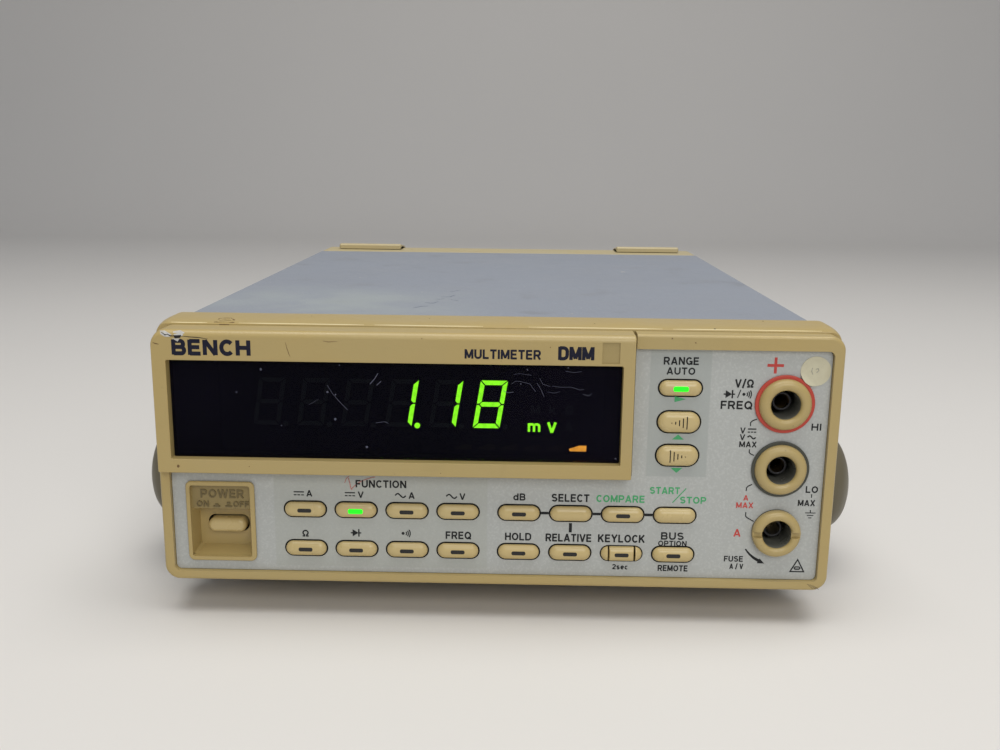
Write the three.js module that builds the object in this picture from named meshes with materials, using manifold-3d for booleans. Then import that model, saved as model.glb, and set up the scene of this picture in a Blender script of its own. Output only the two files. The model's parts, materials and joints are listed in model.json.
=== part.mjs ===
// Bench multimeter: a half-rack digital instrument with a swinging carry handle.
// Millimetres. +X is the operator's right, -Y the front and +Z up. The origin is in the middle of the
// plan, on the surface that the feet stand on.
// Inside the group "instrument" every piece is placed from the front panel: X from its middle, Y behind
// its face and Z above its lower edge.
import * as THREE from "three";
import { mergeVertices } from "three/addons/utils/BufferGeometryUtils.js";
import Module from "manifold-3d";

const wasm = await Module();
wasm.setup();

// ---------------------------------------------------------------- driving dimensions

const overallDepth = 266;
const feetBelowPanel = 14; // from the panel's lower edge down to the surface
const gap = 0.3; // between pieces that meet

const panel = { width: 188.5, height: 68.4, thickness: 1.5, corner: 1.5 };
const surround = { width: 194.6, bottom: -2.8, top: 72.7, front: -1.6, back: 4.2, corner: 4.2 };
const bezel = { left: -96.3, right: 38.7, bottom: 31.2, front: -5, corner: 4 };
const opening = { left: -92.25, right: 35.4, bottom: 35.35, top: 64.1, depth: 2.8 }; // the display's
const frame = { width: 197.4, bottom: -3, top: 73.9, front: 4.5, back: 19.5, wall: 5, corner: 4.2 };
const cover = { halfWidth: 95.2, bottom: -1.5, top: 73, front: 19.8, back: 227.7, sheet: 1.2, bend: 2.5 };
const rear = {
  halfWidth: 95.5, bottom: -2.8, top: 73.1, corner: 3.5, front: 228, back: 251, wall: 6.5,
  plateFront: 245.5, plateBack: 247,
};
const rearFoot = { width: 31.6, inner: 54.9, thick: 2.5, front: 237.5, back: 261, reach: 15 };

const keys = {
  firstColumn: -55.42, secondBlock: 7.06, firstPitch: 14.9, secondPitch: 15.06, columnsPerBlock: 4,
  upperRow: 19.24, lowerRow: 7.2,
  width: 11.95, height: 4.4, tall: 6.05, proud: 1.6, clearance: 0.3,
};
const rangeKeys = { x: 52.1, top: 57.2, pitch: 9.9 };
const jacks = { x: 81.65, top: 53.05, pitch: 19.2 };
const socket = { bore: 4.2, rim: 7.4, neck: 6.6, proud: 2.7, back: 20, contactTip: 3.2 };
const power = { x: -80.15, z: 15.2, width: 20.1, height: 24.4 };
const powerKnob = { x: -79.8, z: 12.35, width: 11.4, height: 4.3, face: 3.2 };

const pivot = { y: 48, z: 15.5, radius: 17.1, inner: 95.5, outer: 116 };
const handle = { length: 112, gripHeight: 9, gripWidth: 15, gripBelow: 7.7, armInner: 99.3 };

const columnX = (column) =>
  column < keys.columnsPerBlock
    ? keys.firstColumn + column * keys.firstPitch
    : keys.secondBlock + (column - keys.columnsPerBlock) * keys.secondPitch;

// ---------------------------------------------------------------- materials

const finish = (color, roughness, metalness = 0) =>
  new THREE.MeshStandardMaterial({ color, roughness, metalness });

const material = {
  tan: finish(0xb9a26c, 0.5),
  key: finish(0xc7b07a, 0.42),
  panel: finish(0xa8acad, 0.55),
  sheet: finish(0x989ca6, 0.6, 0.1),
  window: finish(0x07080d, 0.08),
  hub: finish(0x7c7260, 0.55),
  black: finish(0x17171a, 0.5),
  red: finish(0xb8352c, 0.45),
  darkRing: finish(0x3c4038, 0.5),
  brass: finish(0xb99a52, 0.3, 1),
  board: finish(0x2c5a3a, 0.6),
  glass: finish(0x1c2420, 0.1),
  rubber: finish(0x3a3936, 0.85),
  iron: finish(0x77736b, 0.6, 0.5),
};

// ---------------------------------------------------------------- outlines, drawn in X and Z

function roundedRect(left, right, bottom, top, radius) {
  const s = new THREE.Shape();
  s.moveTo(left + radius, bottom);
  s.lineTo(right - radius, bottom);
  s.absarc(right - radius, bottom + radius, radius, -Math.PI / 2, 0);
  s.lineTo(right, top - radius);
  s.absarc(right - radius, top - radius, radius, 0, Math.PI / 2);
  s.lineTo(left + radius, top);
  s.absarc(left + radius, top - radius, radius, Math.PI / 2, Math.PI);
  s.lineTo(left, bottom + radius);
  s.absarc(left + radius, bottom + radius, radius, Math.PI, 1.5 * Math.PI);
  return s;
}

function centredRect(x, z, width, height, radius) {
  return roundedRect(x - width / 2, x + width / 2, z - height / 2, z + height / 2, radius);
}

// A slot with round ends.
function pill(x, z, width, height) {
  const r = height / 2;
  const s = new THREE.Shape();
  s.moveTo(x - width / 2 + r, z - r);
  s.lineTo(x + width / 2 - r, z - r);
  s.absarc(x + width / 2 - r, z, r, -Math.PI / 2, Math.PI / 2);
  s.lineTo(x - width / 2 + r, z + r);
  s.absarc(x - width / 2 + r, z, r, Math.PI / 2, 1.5 * Math.PI);
  return s;
}

function disc(x, z, radius, sides = 28) {
  const s = new THREE.Shape();
  s.moveTo(x + radius, z);
  for (let i = 1; i < sides; i++) {
    const angle = 2 * Math.PI * i / sides;
    s.lineTo(x + radius * Math.cos(angle), z + radius * Math.sin(angle));
  }
  return s;
}

// ---------------------------------------------------------------- solids

// An outline in X and Z swept from y0 back to y1, with its edges chamfered at both ends.
function prism(outline, y0, y1, { bevel = 0, curve = 3 } = {}) {
  const g = new THREE.ExtrudeGeometry(outline, {
    depth: y1 - y0 - 2 * bevel,
    bevelEnabled: bevel > 0,
    bevelThickness: bevel,
    bevelSize: bevel,
    bevelOffset: -bevel,
    bevelSegments: 1,
    curveSegments: curve,
  });
  return g.rotateX(Math.PI / 2).translate(0, y1 - bevel, 0);
}

// An outline in Y and Z swept from x0 to x1.
function sidePrism(outline, x0, x1, { bevel = 0, curve = 4 } = {}) {
  const g = new THREE.ExtrudeGeometry(outline, {
    depth: x1 - x0 - 2 * bevel,
    bevelEnabled: bevel > 0,
    bevelThickness: bevel,
    bevelSize: bevel,
    bevelOffset: -bevel,
    bevelSegments: 1,
    curveSegments: curve,
  });
  g.rotateY(Math.PI / 2).rotateX(Math.PI / 2);
  return g.translate(x0 + bevel, 0, 0);
}

function box(x0, x1, y0, y1, z0, z1) {
  return new THREE.BoxGeometry(x1 - x0, y1 - y0, z1 - z0)
    .translate((x0 + x1) / 2, (y0 + y1) / 2, (z0 + z1) / 2);
}

// A box whose back face is smaller than its front one.
function funnel(front, back, y0, y1) {
  const g = new THREE.BoxGeometry(1, 1, 1);
  const p = g.attributes.position;
  for (let i = 0; i < p.count; i++) {
    const face = p.getY(i) < 0 ? front : back;
    const x = p.getX(i) < 0 ? face.left : face.right;
    const z = p.getZ(i) < 0 ? face.bottom : face.top;
    p.setXYZ(i, x, p.getY(i) < 0 ? y0 : y1, z);
  }
  return g;
}

// A profile of [radius, y] points turned about an axis along Y at (x, z).
function turned(profile, x, z, segments = 28) {
  const points = profile.map(([r, y]) => new THREE.Vector2(r, y));
  return new THREE.LatheGeometry(points, segments).translate(x, 0, z);
}

function toSolid(geometry) {
  const g = geometry.clone();
  g.deleteAttribute("normal");
  g.deleteAttribute("uv");
  const merged = mergeVertices(g, 1e-4);
  const index = merged.index.array;
  const kept = [];
  for (let i = 0; i < index.length; i += 3) {
    const [a, b, c] = [index[i], index[i + 1], index[i + 2]];
    if (a !== b && b !== c && c !== a) kept.push(a, b, c);
  }
  return new wasm.Manifold(new wasm.Mesh({
    numProp: 3,
    vertProperties: merged.attributes.position.array,
    triVerts: new Uint32Array(kept),
  }));
}

function toGeometry(solid) {
  const mesh = solid.getMesh();
  const g = new THREE.BufferGeometry();
  g.setAttribute("position", new THREE.BufferAttribute(mesh.vertProperties, 3));
  g.setIndex(new THREE.BufferAttribute(mesh.triVerts, 1));
  g.computeVertexNormals();
  return g;
}

const join = (first, ...rest) =>
  toGeometry(rest.reduce((a, b) => a.add(toSolid(b)), toSolid(first)));
const cut = (first, ...rest) =>
  toGeometry(rest.reduce((a, b) => a.subtract(toSolid(b)), toSolid(first)));

// ---------------------------------------------------------------- scene graph

const instrument = new THREE.Group();
instrument.position.set(0, -overallDepth / 2 - bezel.front, feetBelowPanel);

function add(name, geometry, look, parent = instrument) {
  const mesh = new THREE.Mesh(cut(geometry), look);
  mesh.name = name;
  parent.add(mesh);
  return mesh;
}

// ---------------------------------------------------------------- front mouldings

// The ring that joins the front to the covers.
function frontFrame() {
  const half = frame.width / 2;
  const outline = roundedRect(-half, half, frame.bottom, frame.top, frame.corner);
  outline.holes.push(roundedRect(
    -half + frame.wall, half - frame.wall, frame.bottom + frame.wall, frame.top - frame.wall, 2));
  add("front_frame", prism(outline, frame.front, frame.back, { bevel: 0.8 }), material.tan);
}

// The rim round the grey panel. The display bezel takes its upper left part.
function panelSurround() {
  const half = surround.width / 2;
  const outline = roundedRect(-half, half, surround.bottom, surround.top, surround.corner);
  const ring = prism(outline, surround.front, surround.back, { bevel: 1.2 });
  const hole = centredRect(0, panel.height / 2, panel.width + 2 * gap, panel.height + 2 * gap, panel.corner);
  const notch = box(-half - 1, bezel.right + 2 * gap, surround.front - 1, surround.back + 1,
    bezel.bottom - gap, surround.top + 1);
  add("panel_surround", cut(ring, prism(hole, -5, 9), notch), material.tan);
}

// The raised block round the display, with a small square recess in its top band.
function displayBezel() {
  const half = surround.width / 2;
  const rounded = roundedRect(bezel.left, half, surround.bottom, surround.top, bezel.corner);
  const whole = prism(rounded, bezel.front, surround.back, { bevel: 1.2 });
  const side = box(-half - 1, bezel.right, bezel.front - 1, surround.back + 1, bezel.bottom, 80);
  const block = toGeometry(toSolid(whole).intersect(toSolid(side)));
  const window = funnel(
    { left: opening.left - 0.3, right: opening.right + 0.2, bottom: opening.bottom - 0.4, top: opening.top + 0.3 },
    opening, bezel.front - 0.3, bezel.front + opening.depth);
  const through = box(opening.left, opening.right, bezel.front, surround.back + 1, opening.bottom, opening.top);
  // The back is open, so that the bezel sits over the panel's edge and holds the window.
  const pocket = box(opening.left - 2.2, opening.right + 1.4, -0.9, surround.back + 1,
    opening.bottom - 2.4, opening.top + 6);
  const recess = box(29.4, 34.6, bezel.front - 1, bezel.front + 0.5, opening.top + 0.6, surround.top - 1.8);
  add("display_bezel", cut(block, window, through, pocket, recess), material.tan);
}

// The smoked window, with a flange that holds it behind the bezel's front wall.
function displayWindow() {
  const sheetAt = (grow, y0, y1) => prism(roundedRect(
    opening.left - grow, opening.right + grow, opening.bottom - grow, opening.top + grow, 0.4), y0, y1);
  add("display_window", join(sheetAt(-gap, bezel.front + opening.depth, 0), sheetAt(1, -0.6, 0.6)), material.window);
}

function keyOutline(x, z, width, height) {
  return pill(x, z, width + 2 * keys.clearance, height + 2 * keys.clearance);
}

// The printed plate, with a hole for every control and its upper left part left to the display bezel.
function controlPanel() {
  const outline = centredRect(0, panel.height / 2, panel.width, panel.height, panel.corner);
  outline.holes.push(centredRect(power.x, power.z, power.width - 0.5, power.height - 0.5, 1.2));
  for (const key of keyList) outline.holes.push(keyOutline(key.x, key.z, keys.width, key.height));
  for (let i = 0; i < 3; i++) outline.holes.push(disc(jacks.x, jacks.top - i * jacks.pitch, socket.neck + gap));
  const plate = prism(outline, 0, panel.thickness);
  const corner = box(-panel.width, bezel.right + 2 * gap, -1, panel.thickness + 1, bezel.bottom - gap, 90);
  add("control_panel", cut(plate, corner), material.panel);
}

// ---------------------------------------------------------------- keys

const keyNames = [
  ["key_dc_current", "key_dc_volts", "key_ac_current", "key_ac_volts",
    "key_decibel", "key_select", "key_compare", "key_start_stop"],
  ["key_ohms", "key_diode", "key_continuity", "key_frequency",
    "key_hold", "key_relative", "key_lock", "key_remote"],
];
const keyList = [];
keyNames.forEach((row, r) => row.forEach((name, column) => keyList.push({
  name, x: columnX(column), z: r ? keys.lowerRow : keys.upperRow, height: keys.height,
})));
["key_auto_range", "key_range_up", "key_range_down"].forEach((name, i) => keyList.push({
  name, x: rangeKeys.x, z: rangeKeys.top - i * rangeKeys.pitch, height: i ? keys.tall : keys.height,
}));

const lockKey = { width: 7.3, slit: 0.4 };

// A round-ended cap, a flange that stops it behind the panel, and a stem that works its switch.
function pushKey({ name, x, z, height }) {
  const cap = prism(pill(x, z, keys.width, height), -keys.proud, 2.4, { bevel: 0.8 });
  const flange = box(x - keys.width / 2 - 0.7, x + keys.width / 2 + 0.7, 1.9, 2.7,
    z - height / 2 - 0.7, z + height / 2 + 0.7);
  const stem = box(x - 1.5, x + 1.5, 2.5, 4.9, z - 1.2, z + 1.2);
  add(name, join(cap, flange, stem), material.key);
}

// The lock key is the middle third of a pill. Fixed lugs on both sides keep a finger off it.
function guardedKey({ name, x, z, height }) {
  const half = lockKey.width / 2;
  const cap = prism(centredRect(x, z, lockKey.width, height, 0.4), -keys.proud, 3.4, { bevel: 0.35 });
  const flange = box(x - half - 1, x + half + 1, 3.2, 4, z - height / 2 - 0.8, z + height / 2 + 0.8);
  const stem = box(x - 1.5, x + 1.5, 3.8, 4.9, z - 1.2, z + 1.2);
  add(name, join(cap, flange, stem), material.key);

  const lugs = prism(pill(x, z, keys.width, height), -keys.proud, 2.4, { bevel: 0.8 });
  const bridge = box(x - keys.width / 2 - 1, x + keys.width / 2 + 1, 1.8, 2.8,
    z - height / 2 - 1.4, z + height / 2 + 1.4);
  const window = box(x - half - lockKey.slit, x + half + lockKey.slit, -5, 5,
    z - height / 2 - lockKey.slit, z + height / 2 + lockKey.slit);
  add("lock_key_guard", cut(join(lugs, bridge), window), material.key);
}

function allKeys() {
  for (const key of keyList) (key.name === "key_lock" ? guardedKey : pushKey)(key);
}

// ---------------------------------------------------------------- power control

const powerPocket = {
  mouth: { left: power.x - 8.85, right: power.x + 8.75, bottom: power.z - 10.95, top: power.z + 3.6 },
  floor: { left: power.x - 8.3, right: power.x + 6.6, bottom: power.z - 9.6, top: power.z + 1.6 },
  depth: 6,
};

function powerEscutcheon() {
  const { mouth, floor, depth } = powerPocket;
  const rim = prism(centredRect(power.x, power.z, power.width, power.height, 1.6), -0.9, -gap, { bevel: 0.25 });
  const body = prism(centredRect(power.x, power.z, power.width - 1.1, power.height - 1.1, 1), -0.6, depth + 1.5);
  const plate = box(power.x - 8.85, power.x + 8.75, -2, 0.6, power.z + 2, power.z + 10.95);
  const pocket = funnel(mouth, floor, -0.9, depth);
  const slot = box(powerKnob.x - powerKnob.width / 2 - 0.35, powerKnob.x + powerKnob.width / 2 + 0.35, depth - 1,
    depth + 3, powerKnob.z - powerKnob.height / 2 - 0.35, powerKnob.z + powerKnob.height / 2 + 0.35);
  add("power_escutcheon", cut(join(rim, body), plate, pocket, slot), material.tan);
}

// The latching button, shown pressed in, with the stem that runs back into the switch.
function powerButton() {
  const { x, z, width, height, face } = powerKnob;
  const cap = prism(centredRect(x, z, width, height, 1.6), face, 13.5, { bevel: 0.8 });
  const stem = box(x - 2, x + 2, 13, 26, z - 1.3, z + 1.3);
  add("power_button", join(cap, stem), material.key);
}

function mainsSwitch() {
  const { x, z } = powerKnob;
  const body = box(x - 8, x + 8, 20, 42, z - 8, z + 8);
  const slot = box(x - 2.6, x + 2.6, 19, 27.5, z - 1.9, z + 1.9);
  add("mains_switch", cut(body, slot), material.black);
}

// ---------------------------------------------------------------- sockets

// A shrouded 4 mm socket: a round rim on the panel and a deep insulated bore.
const socketProfile = [
  [socket.bore, socket.back], [socket.bore, -socket.proud + 0.6], [socket.bore + 0.5, -socket.proud],
  [socket.rim - 1.6, -socket.proud], [socket.rim - 0.4, -socket.proud + 0.6], [socket.rim, -socket.proud + 1.3],
  [socket.rim, -1.1], [socket.neck, -1.1], [socket.neck, socket.back], [socket.bore, socket.back],
];

// The collar of colour under a socket's rim.
function colourRing(name, z, radius, look) {
  const profile = [
    [socket.neck + gap, -gap / 2], [socket.neck + gap, -0.8],
    [radius, -0.8], [radius, -gap / 2], [socket.neck + gap, -gap / 2],
  ];
  add(name, turned(profile, jacks.x, z), look);
}

function contact(name, z) {
  const profile = [
    [2.05, 26], [2.05, socket.contactTip], [2.8, socket.contactTip], [2.8, 18],
    [socket.bore - gap, 18], [socket.bore - gap, 19.5], [2.8, 19.5], [2.8, 26], [2.05, 26],
  ];
  add(name, turned(profile, jacks.x, z, 18), material.brass);
}

function voltageSocket(side, z, ringRadius, ringLook) {
  add(`socket_${side}`, turned(socketProfile, jacks.x, z), material.tan);
  colourRing(`colour_ring_${side}`, z, ringRadius, ringLook);
  contact(`contact_${side}`, z);
}

// The current socket is also the cap of its fuse holder: it turns with a coin in its two slots.
function currentSocket() {
  const z = jacks.top - 2 * jacks.pitch;
  const rim = 6.95;
  const capProfile = [
    [socket.bore, 9], [socket.bore, -2.4], [socket.bore + 0.5, -3],
    [rim - 1, -3], [rim - 0.2, -2.4], [rim, -1.6], [rim, -gap], [5.6, -gap], [5.6, 9], [socket.bore, 9],
  ];
  const slot = box(jacks.x - rim - 1, jacks.x + rim + 1, -4, -1.6, z - 0.95, z + 0.95);
  add("fuse_cap", cut(turned(capProfile, jacks.x, z), slot), material.tan);

  const holderProfile = [
    [6.2, 48], [6.2, 0.2], [socket.neck, 0.2], [socket.neck, 2], [7.8, 2], [7.8, 4.5],
    [7.2, 4.5], [7.2, 48], [6.2, 48],
  ];
  add("fuse_holder", turned(holderProfile, jacks.x, z), material.black);

  const fuseProfile = [
    [0, 44], [0, 9.6], [2.05, 9.6], [2.05, socket.contactTip], [2.8, socket.contactTip], [2.8, 9.4],
    [3.2, 9.4], [3.2, 44], [0, 44],
  ];
  add("range_fuse", turned(fuseProfile, jacks.x, z, 18), material.brass);
}

function sockets() {
  voltageSocket("hi", jacks.top, 8.42, material.red);
  voltageSocket("lo", jacks.top - jacks.pitch, 8.25, material.darkRing);
  currentSocket();
}

// ---------------------------------------------------------------- covers

// The inverted channel over the top and both sides.
function topCover() {
  const { halfWidth, bottom, top, sheet, bend } = cover;
  const outer = roundedRect(-halfWidth, halfWidth, bottom - 10, top, bend);
  const inner = roundedRect(-halfWidth + sheet, halfWidth - sheet, bottom - 9, top - sheet, bend - sheet);
  const tube = cut(prism(outer, cover.front, cover.back), prism(inner, cover.front - 1, cover.back + 1));
  const below = box(-200, 200, 0, 300, bottom - 20, bottom + sheet + gap);
  add("top_cover", cut(tube, below), material.sheet);
}

const boardPosts = [[-60, 60], [80, 60], [-60, 140], [80, 140], [-14, 206], [80, 206]];

// The flat tray under the instrument, with flanges inside the sides, two rows of vents and posts
// that carry the main board.
function bottomCover() {
  const { halfWidth, bottom, sheet } = cover;
  const flange = halfWidth - sheet - gap;
  const floor = box(-halfWidth, halfWidth, cover.front, cover.back, bottom, bottom + sheet);
  const tray = box(-flange, flange, cover.front, cover.back, bottom + sheet / 2, bottom + 9);
  const hollow = box(-flange + sheet, flange - sheet, 0, 300, bottom + sheet, bottom + 20);
  const vents = [];
  for (let i = 0; i < 9; i++) {
    for (const x of [-32, 32]) {
      vents.push(prism(pill(0, 0, 26, 3), -2, 2, { curve: 1 })
        .rotateX(Math.PI / 2).translate(x, 172 + i * 6, bottom + sheet / 2));
    }
  }
  const post = turned([[0, sheet / 2], [3, sheet / 2], [3, 10], [0, 10]], 0, 0, 8).rotateX(Math.PI / 2);
  const posts = boardPosts.map(([x, y]) => post.clone().translate(x, y, bottom));
  add("bottom_cover", join(cut(join(floor, tray), hollow, ...vents), ...posts), material.sheet);
}

// ---------------------------------------------------------------- rear

function rearFrame() {
  const half = rear.halfWidth;
  const outline = roundedRect(-half, half, rear.bottom, rear.top, rear.corner);
  outline.holes.push(roundedRect(
    -half + rear.wall, half - rear.wall, rear.bottom + rear.wall, rear.top - rear.wall, 2));
  add("rear_frame", prism(outline, rear.front, rear.back, { bevel: 0.6 }), material.tan);
}

const inlet = { x: -66, z: 34, width: 27.5, height: 31.5 };
const option = { x: 22, z: 36, width: 84, height: 24 };

// The steel plate in the rear frame, with the inlet's hole, a blanked option slot and vents.
function rearPanel() {
  const half = rear.halfWidth - rear.wall - gap;
  const outline = roundedRect(-half, half, rear.bottom + rear.wall + gap, rear.top - rear.wall - gap, 1.7);
  outline.holes.push(centredRect(inlet.x, inlet.z, inlet.width + 0.6, inlet.height + 0.6, 1.5));
  for (let i = 0; i < 12; i++) outline.holes.push(disc(option.x - 38.5 + i * 7, 61, 1.3, 10));
  const plate = prism(outline, rear.plateFront, rear.plateBack);
  const blank = prism(
    centredRect(option.x, option.z, option.width, option.height, 1), rear.plateBack - 0.2, rear.plateBack + 1);
  add("rear_panel", join(plate, blank), material.sheet);
}

// A mains inlet with a cavity for the plug's nose, three blades in it, and a bay for the fuse drawer.
function mainsInlet() {
  const { x, z, width, height } = inlet;
  const back = rear.plateBack;
  const cavity = { x: 24.4, z: 16.2, depth: 16 };
  const cavityZ = z - 5.6;
  const body = prism(centredRect(x, z, width, height, 1.2), back - 24, back + 1);
  const flange = prism(centredRect(x, z, width + 8, height + 3, 3), back + gap, back + 2.6, { bevel: 0.5 });
  const noseHole = prism(
    centredRect(x, cavityZ, cavity.x, cavity.z, 2.5), back + 2.6 - cavity.depth, back + 5);
  const bay = box(x - 11.3, x + 11.3, back - 18, back + 5, z + 4.9, z + 13.3);
  const hollow = cut(join(body, flange), noseHole, bay);
  const blade = (dx, dz) => box(x + dx - 1, x + dx + 1, back - 15, back - 2, cavityZ + dz - 2, cavityZ + dz + 2);
  add("mains_inlet", join(hollow, blade(-7, -1.6), blade(7, -1.6), blade(0, 2.9)), material.black);

  const drawer = box(x - 11, x + 11, back - 17.5, back + 3.2, z + 5.2, z + 13);
  const lip = box(x - 4, x + 4, back + 3, back + 4.4, z + 11.2, z + 13);
  add("mains_fuse_drawer", join(drawer, lip), material.black);
}

// A corner foot that hooks over the rear frame and stands out behind it, to guard the cord and the plug.
function rearFeet() {
  const under = rear.top + gap;
  const top = under + rearFoot.thick;
  const profile = new THREE.Shape();
  profile.moveTo(rearFoot.front, under);
  profile.lineTo(rear.back + gap, under);
  profile.lineTo(rear.back + gap, rear.top - rearFoot.reach);
  profile.lineTo(rearFoot.back - 1.5, rear.top - rearFoot.reach + 1);
  profile.lineTo(rearFoot.back, rear.top - rearFoot.reach + 3.5);
  profile.lineTo(rearFoot.back, rear.top - 4);
  profile.lineTo(rearFoot.back - 2.5, rear.top + 0.2);
  profile.lineTo(rearFoot.front + 2, top);
  profile.lineTo(rearFoot.front + 0.7, top);
  profile.lineTo(rearFoot.front, top - 0.7);
  const upright = new THREE.Matrix4();
  const middle = (rear.top + rear.bottom) / 2;
  const upsideDown = new THREE.Matrix4()
    .makeTranslation(0, 0, 2 * middle)
    .multiply(new THREE.Matrix4().makeScale(1, 1, -1));
  for (const [level, matrix] of [["upper", upright], ["lower", upsideDown]]) {
    for (const [side, x] of [["left", -rearFoot.inner - rearFoot.width], ["right", rearFoot.inner]]) {
      const body = toSolid(sidePrism(profile, x, x + rearFoot.width, { bevel: 0.35 }));
      const placed = toGeometry(body.transform(matrix.toArray()));
      add(`rear_foot_${level}_${side}`, placed, material.tan);
    }
  }
}

// ---------------------------------------------------------------- feet

function baseFeet() {
  const top = cover.bottom - gap;
  const profile = [
    [0, -feetBelowPanel], [7, -feetBelowPanel], [8, -feetBelowPanel + 1],
    [9, top - 0.8], [8.4, top], [0, top],
  ].map(([r, y]) => new THREE.Vector2(r, y));
  for (const [end, y] of [["front", 34], ["rear", 215]]) {
    for (const [side, x] of [["left", -76], ["right", 76]]) {
      const g = new THREE.LatheGeometry(profile, 24).rotateX(Math.PI / 2).translate(x, y, 0);
      add(`base_foot_${end}_${side}`, g, material.rubber);
    }
  }
}

// ---------------------------------------------------------------- handle

// The handle is drawn lying straight back from its pivot, then turned down so that the grip is under the covers.
const handleGroup = new THREE.Group();
handleGroup.position.set(0, pivot.y, pivot.z);
handleGroup.rotation.x = -Math.asin((pivot.z + handle.gripBelow) / handle.length);
instrument.add(handleGroup);

// A profile of [radius, x] points turned about the pivot's axis.
function turnedOnPivot(profile, segments) {
  const points = profile.map(([r, x]) => new THREE.Vector2(r, x));
  return new THREE.LatheGeometry(points, segments).rotateZ(-Math.PI / 2);
}

const mirroredInX = (geometry) =>
  toGeometry(toSolid(geometry).transform(new THREE.Matrix4().makeScale(-1, 1, 1).toArray()));

// The boss fixed to the case's side, with the stub that the arm turns on.
function pivotBosses() {
  const profile = [
    [0, pivot.inner], [pivot.radius - 1, pivot.inner], [pivot.radius - 1, 98.3],
    [pivot.radius - 1.7, handle.armInner - gap],
    [6, handle.armInner - gap], [6, 106], [0, 106],
  ];
  const boss = turnedOnPivot(profile, 32).translate(0, pivot.y, pivot.z);
  add("pivot_boss_right", boss, material.hub);
  add("pivot_boss_left", mirroredInX(boss), material.hub);
}

// The tapered arm between a disc at the pivot and a small one at the grip.
function armOutline(pivotRadius, gripRadius) {
  const lean = Math.asin((pivotRadius - gripRadius) / handle.length);
  const s = new THREE.Shape();
  s.absarc(0, 0, pivotRadius, Math.PI / 2 - lean, 1.5 * Math.PI + lean);
  s.absarc(handle.length, 0, gripRadius, -Math.PI / 2 + lean, Math.PI / 2 - lean);
  return s;
}

function handleArms() {
  const dome = turnedOnPivot([
    [0, handle.armInner], [pivot.radius, handle.armInner], [pivot.radius, 105.5],
    [pivot.radius - 0.6, 108.9], [pivot.radius - 2, 111.4], [pivot.radius - 4.3, 113.4],
    [pivot.radius - 7.5, 114.8], [pivot.radius - 11.5, 115.7], [0, pivot.outer],
  ], 32);
  const outline = armOutline(9.5, handle.gripHeight / 2);
  const bar = sidePrism(outline, handle.armInner, 106.3, { bevel: 0.8 });
  const eye = turnedOnPivot([[0, 90], [6 + gap, 90], [6 + gap, 106.6], [0, 106.6]], 32);
  const arm = cut(join(dome, bar), eye);
  add("handle_arm_right", arm, material.hub, handleGroup);
  add("handle_arm_left", mirroredInX(arm), material.hub, handleGroup);
}

// The grip bar between the arms, an oval in section.
function handleGrip() {
  const section = new THREE.Shape();
  section.absellipse(handle.length, 0, handle.gripWidth / 2, handle.gripHeight / 2, 0, 2 * Math.PI);
  const end = handle.armInner - gap;
  add("handle_grip", sidePrism(section, -end, end, { bevel: 0.4, curve: 10 }), material.hub, handleGroup);
}

// ---------------------------------------------------------------- inside

// The display tube on its own board, behind the window.
function displayModule() {
  const tube = box(-80, 31.5, 1.2, 6.5, 36.5, 63.2);
  const board = box(-85, 33.5, 6.4, 8.2, 34.5, 65.3);
  add("display_tube", join(tube, board), material.glass);
}

// The board behind the keys: an L round the display, with a switch body behind each key.
function keyBoard() {
  const lower = box(-64, 66, 8.2, 9.8, 3, 31.5);
  const upper = box(42, 66, 8.2, 9.8, 31, 65);
  const switches = keyList.map(({ x, z }) => box(x - 3, x + 3, 6.1, 8.4, z - 2.6, z + 2.6));
  add("key_board", join(lower, upper, ...switches), material.board);
}

function mainBoard() {
  const board = box(-88, 86, 26, 214, 9, 10.6);
  const roomForFuse = box(70, 90, 25, 52, 8, 12);
  const roomForSwitch = box(-90, -66, 25, 48, 8, 12);
  const roomForTransformer = box(-90, -33, 146, 215, 8, 12);
  const shield = box(24, 80, 60, 130, 10.4, 36);
  const heatSink = box(-26, 4, 190, 200, 10.4, 34);
  const trimmed = cut(board, roomForFuse, roomForSwitch, roomForTransformer);
  add("main_board", join(trimmed, shield, heatSink), material.board);
}

function transformer() {
  const foot = box(-88, -38, 156, 200, 0, 2.5);
  const stack = box(-84, -42, 152, 204, 2, 50);
  const winding = prism(centredRect(-63, 27, 54, 26, 4), 164, 192);
  add("transformer", join(foot, stack, winding), material.iron);
}

// ---------------------------------------------------------------- assembly

frontFrame();
panelSurround();
displayBezel();
displayWindow();
controlPanel();
powerEscutcheon();
powerButton();
allKeys();
sockets();
topCover();
bottomCover();
rearFrame();
rearPanel();
mainsInlet();
rearFeet();
baseFeet();
pivotBosses();
handleArms();
handleGrip();
displayModule();
keyBoard();
mainBoard();
transformer();
mainsSwitch();

const multimeter = new THREE.Group();
multimeter.add(instrument);
export default multimeter;
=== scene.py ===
"""Looks for the bench multimeter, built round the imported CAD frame.

Shapes are drawn in millimetres from the front panel: X from its middle, Y behind its face and Z above
its lower edge. `ORIGIN` takes them to the frame, in metres.
"""

import bmesh
import bpy
import json
import math
import random
from mathutils import Matrix, Vector
from mathutils.geometry import tessellate_polygon

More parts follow.
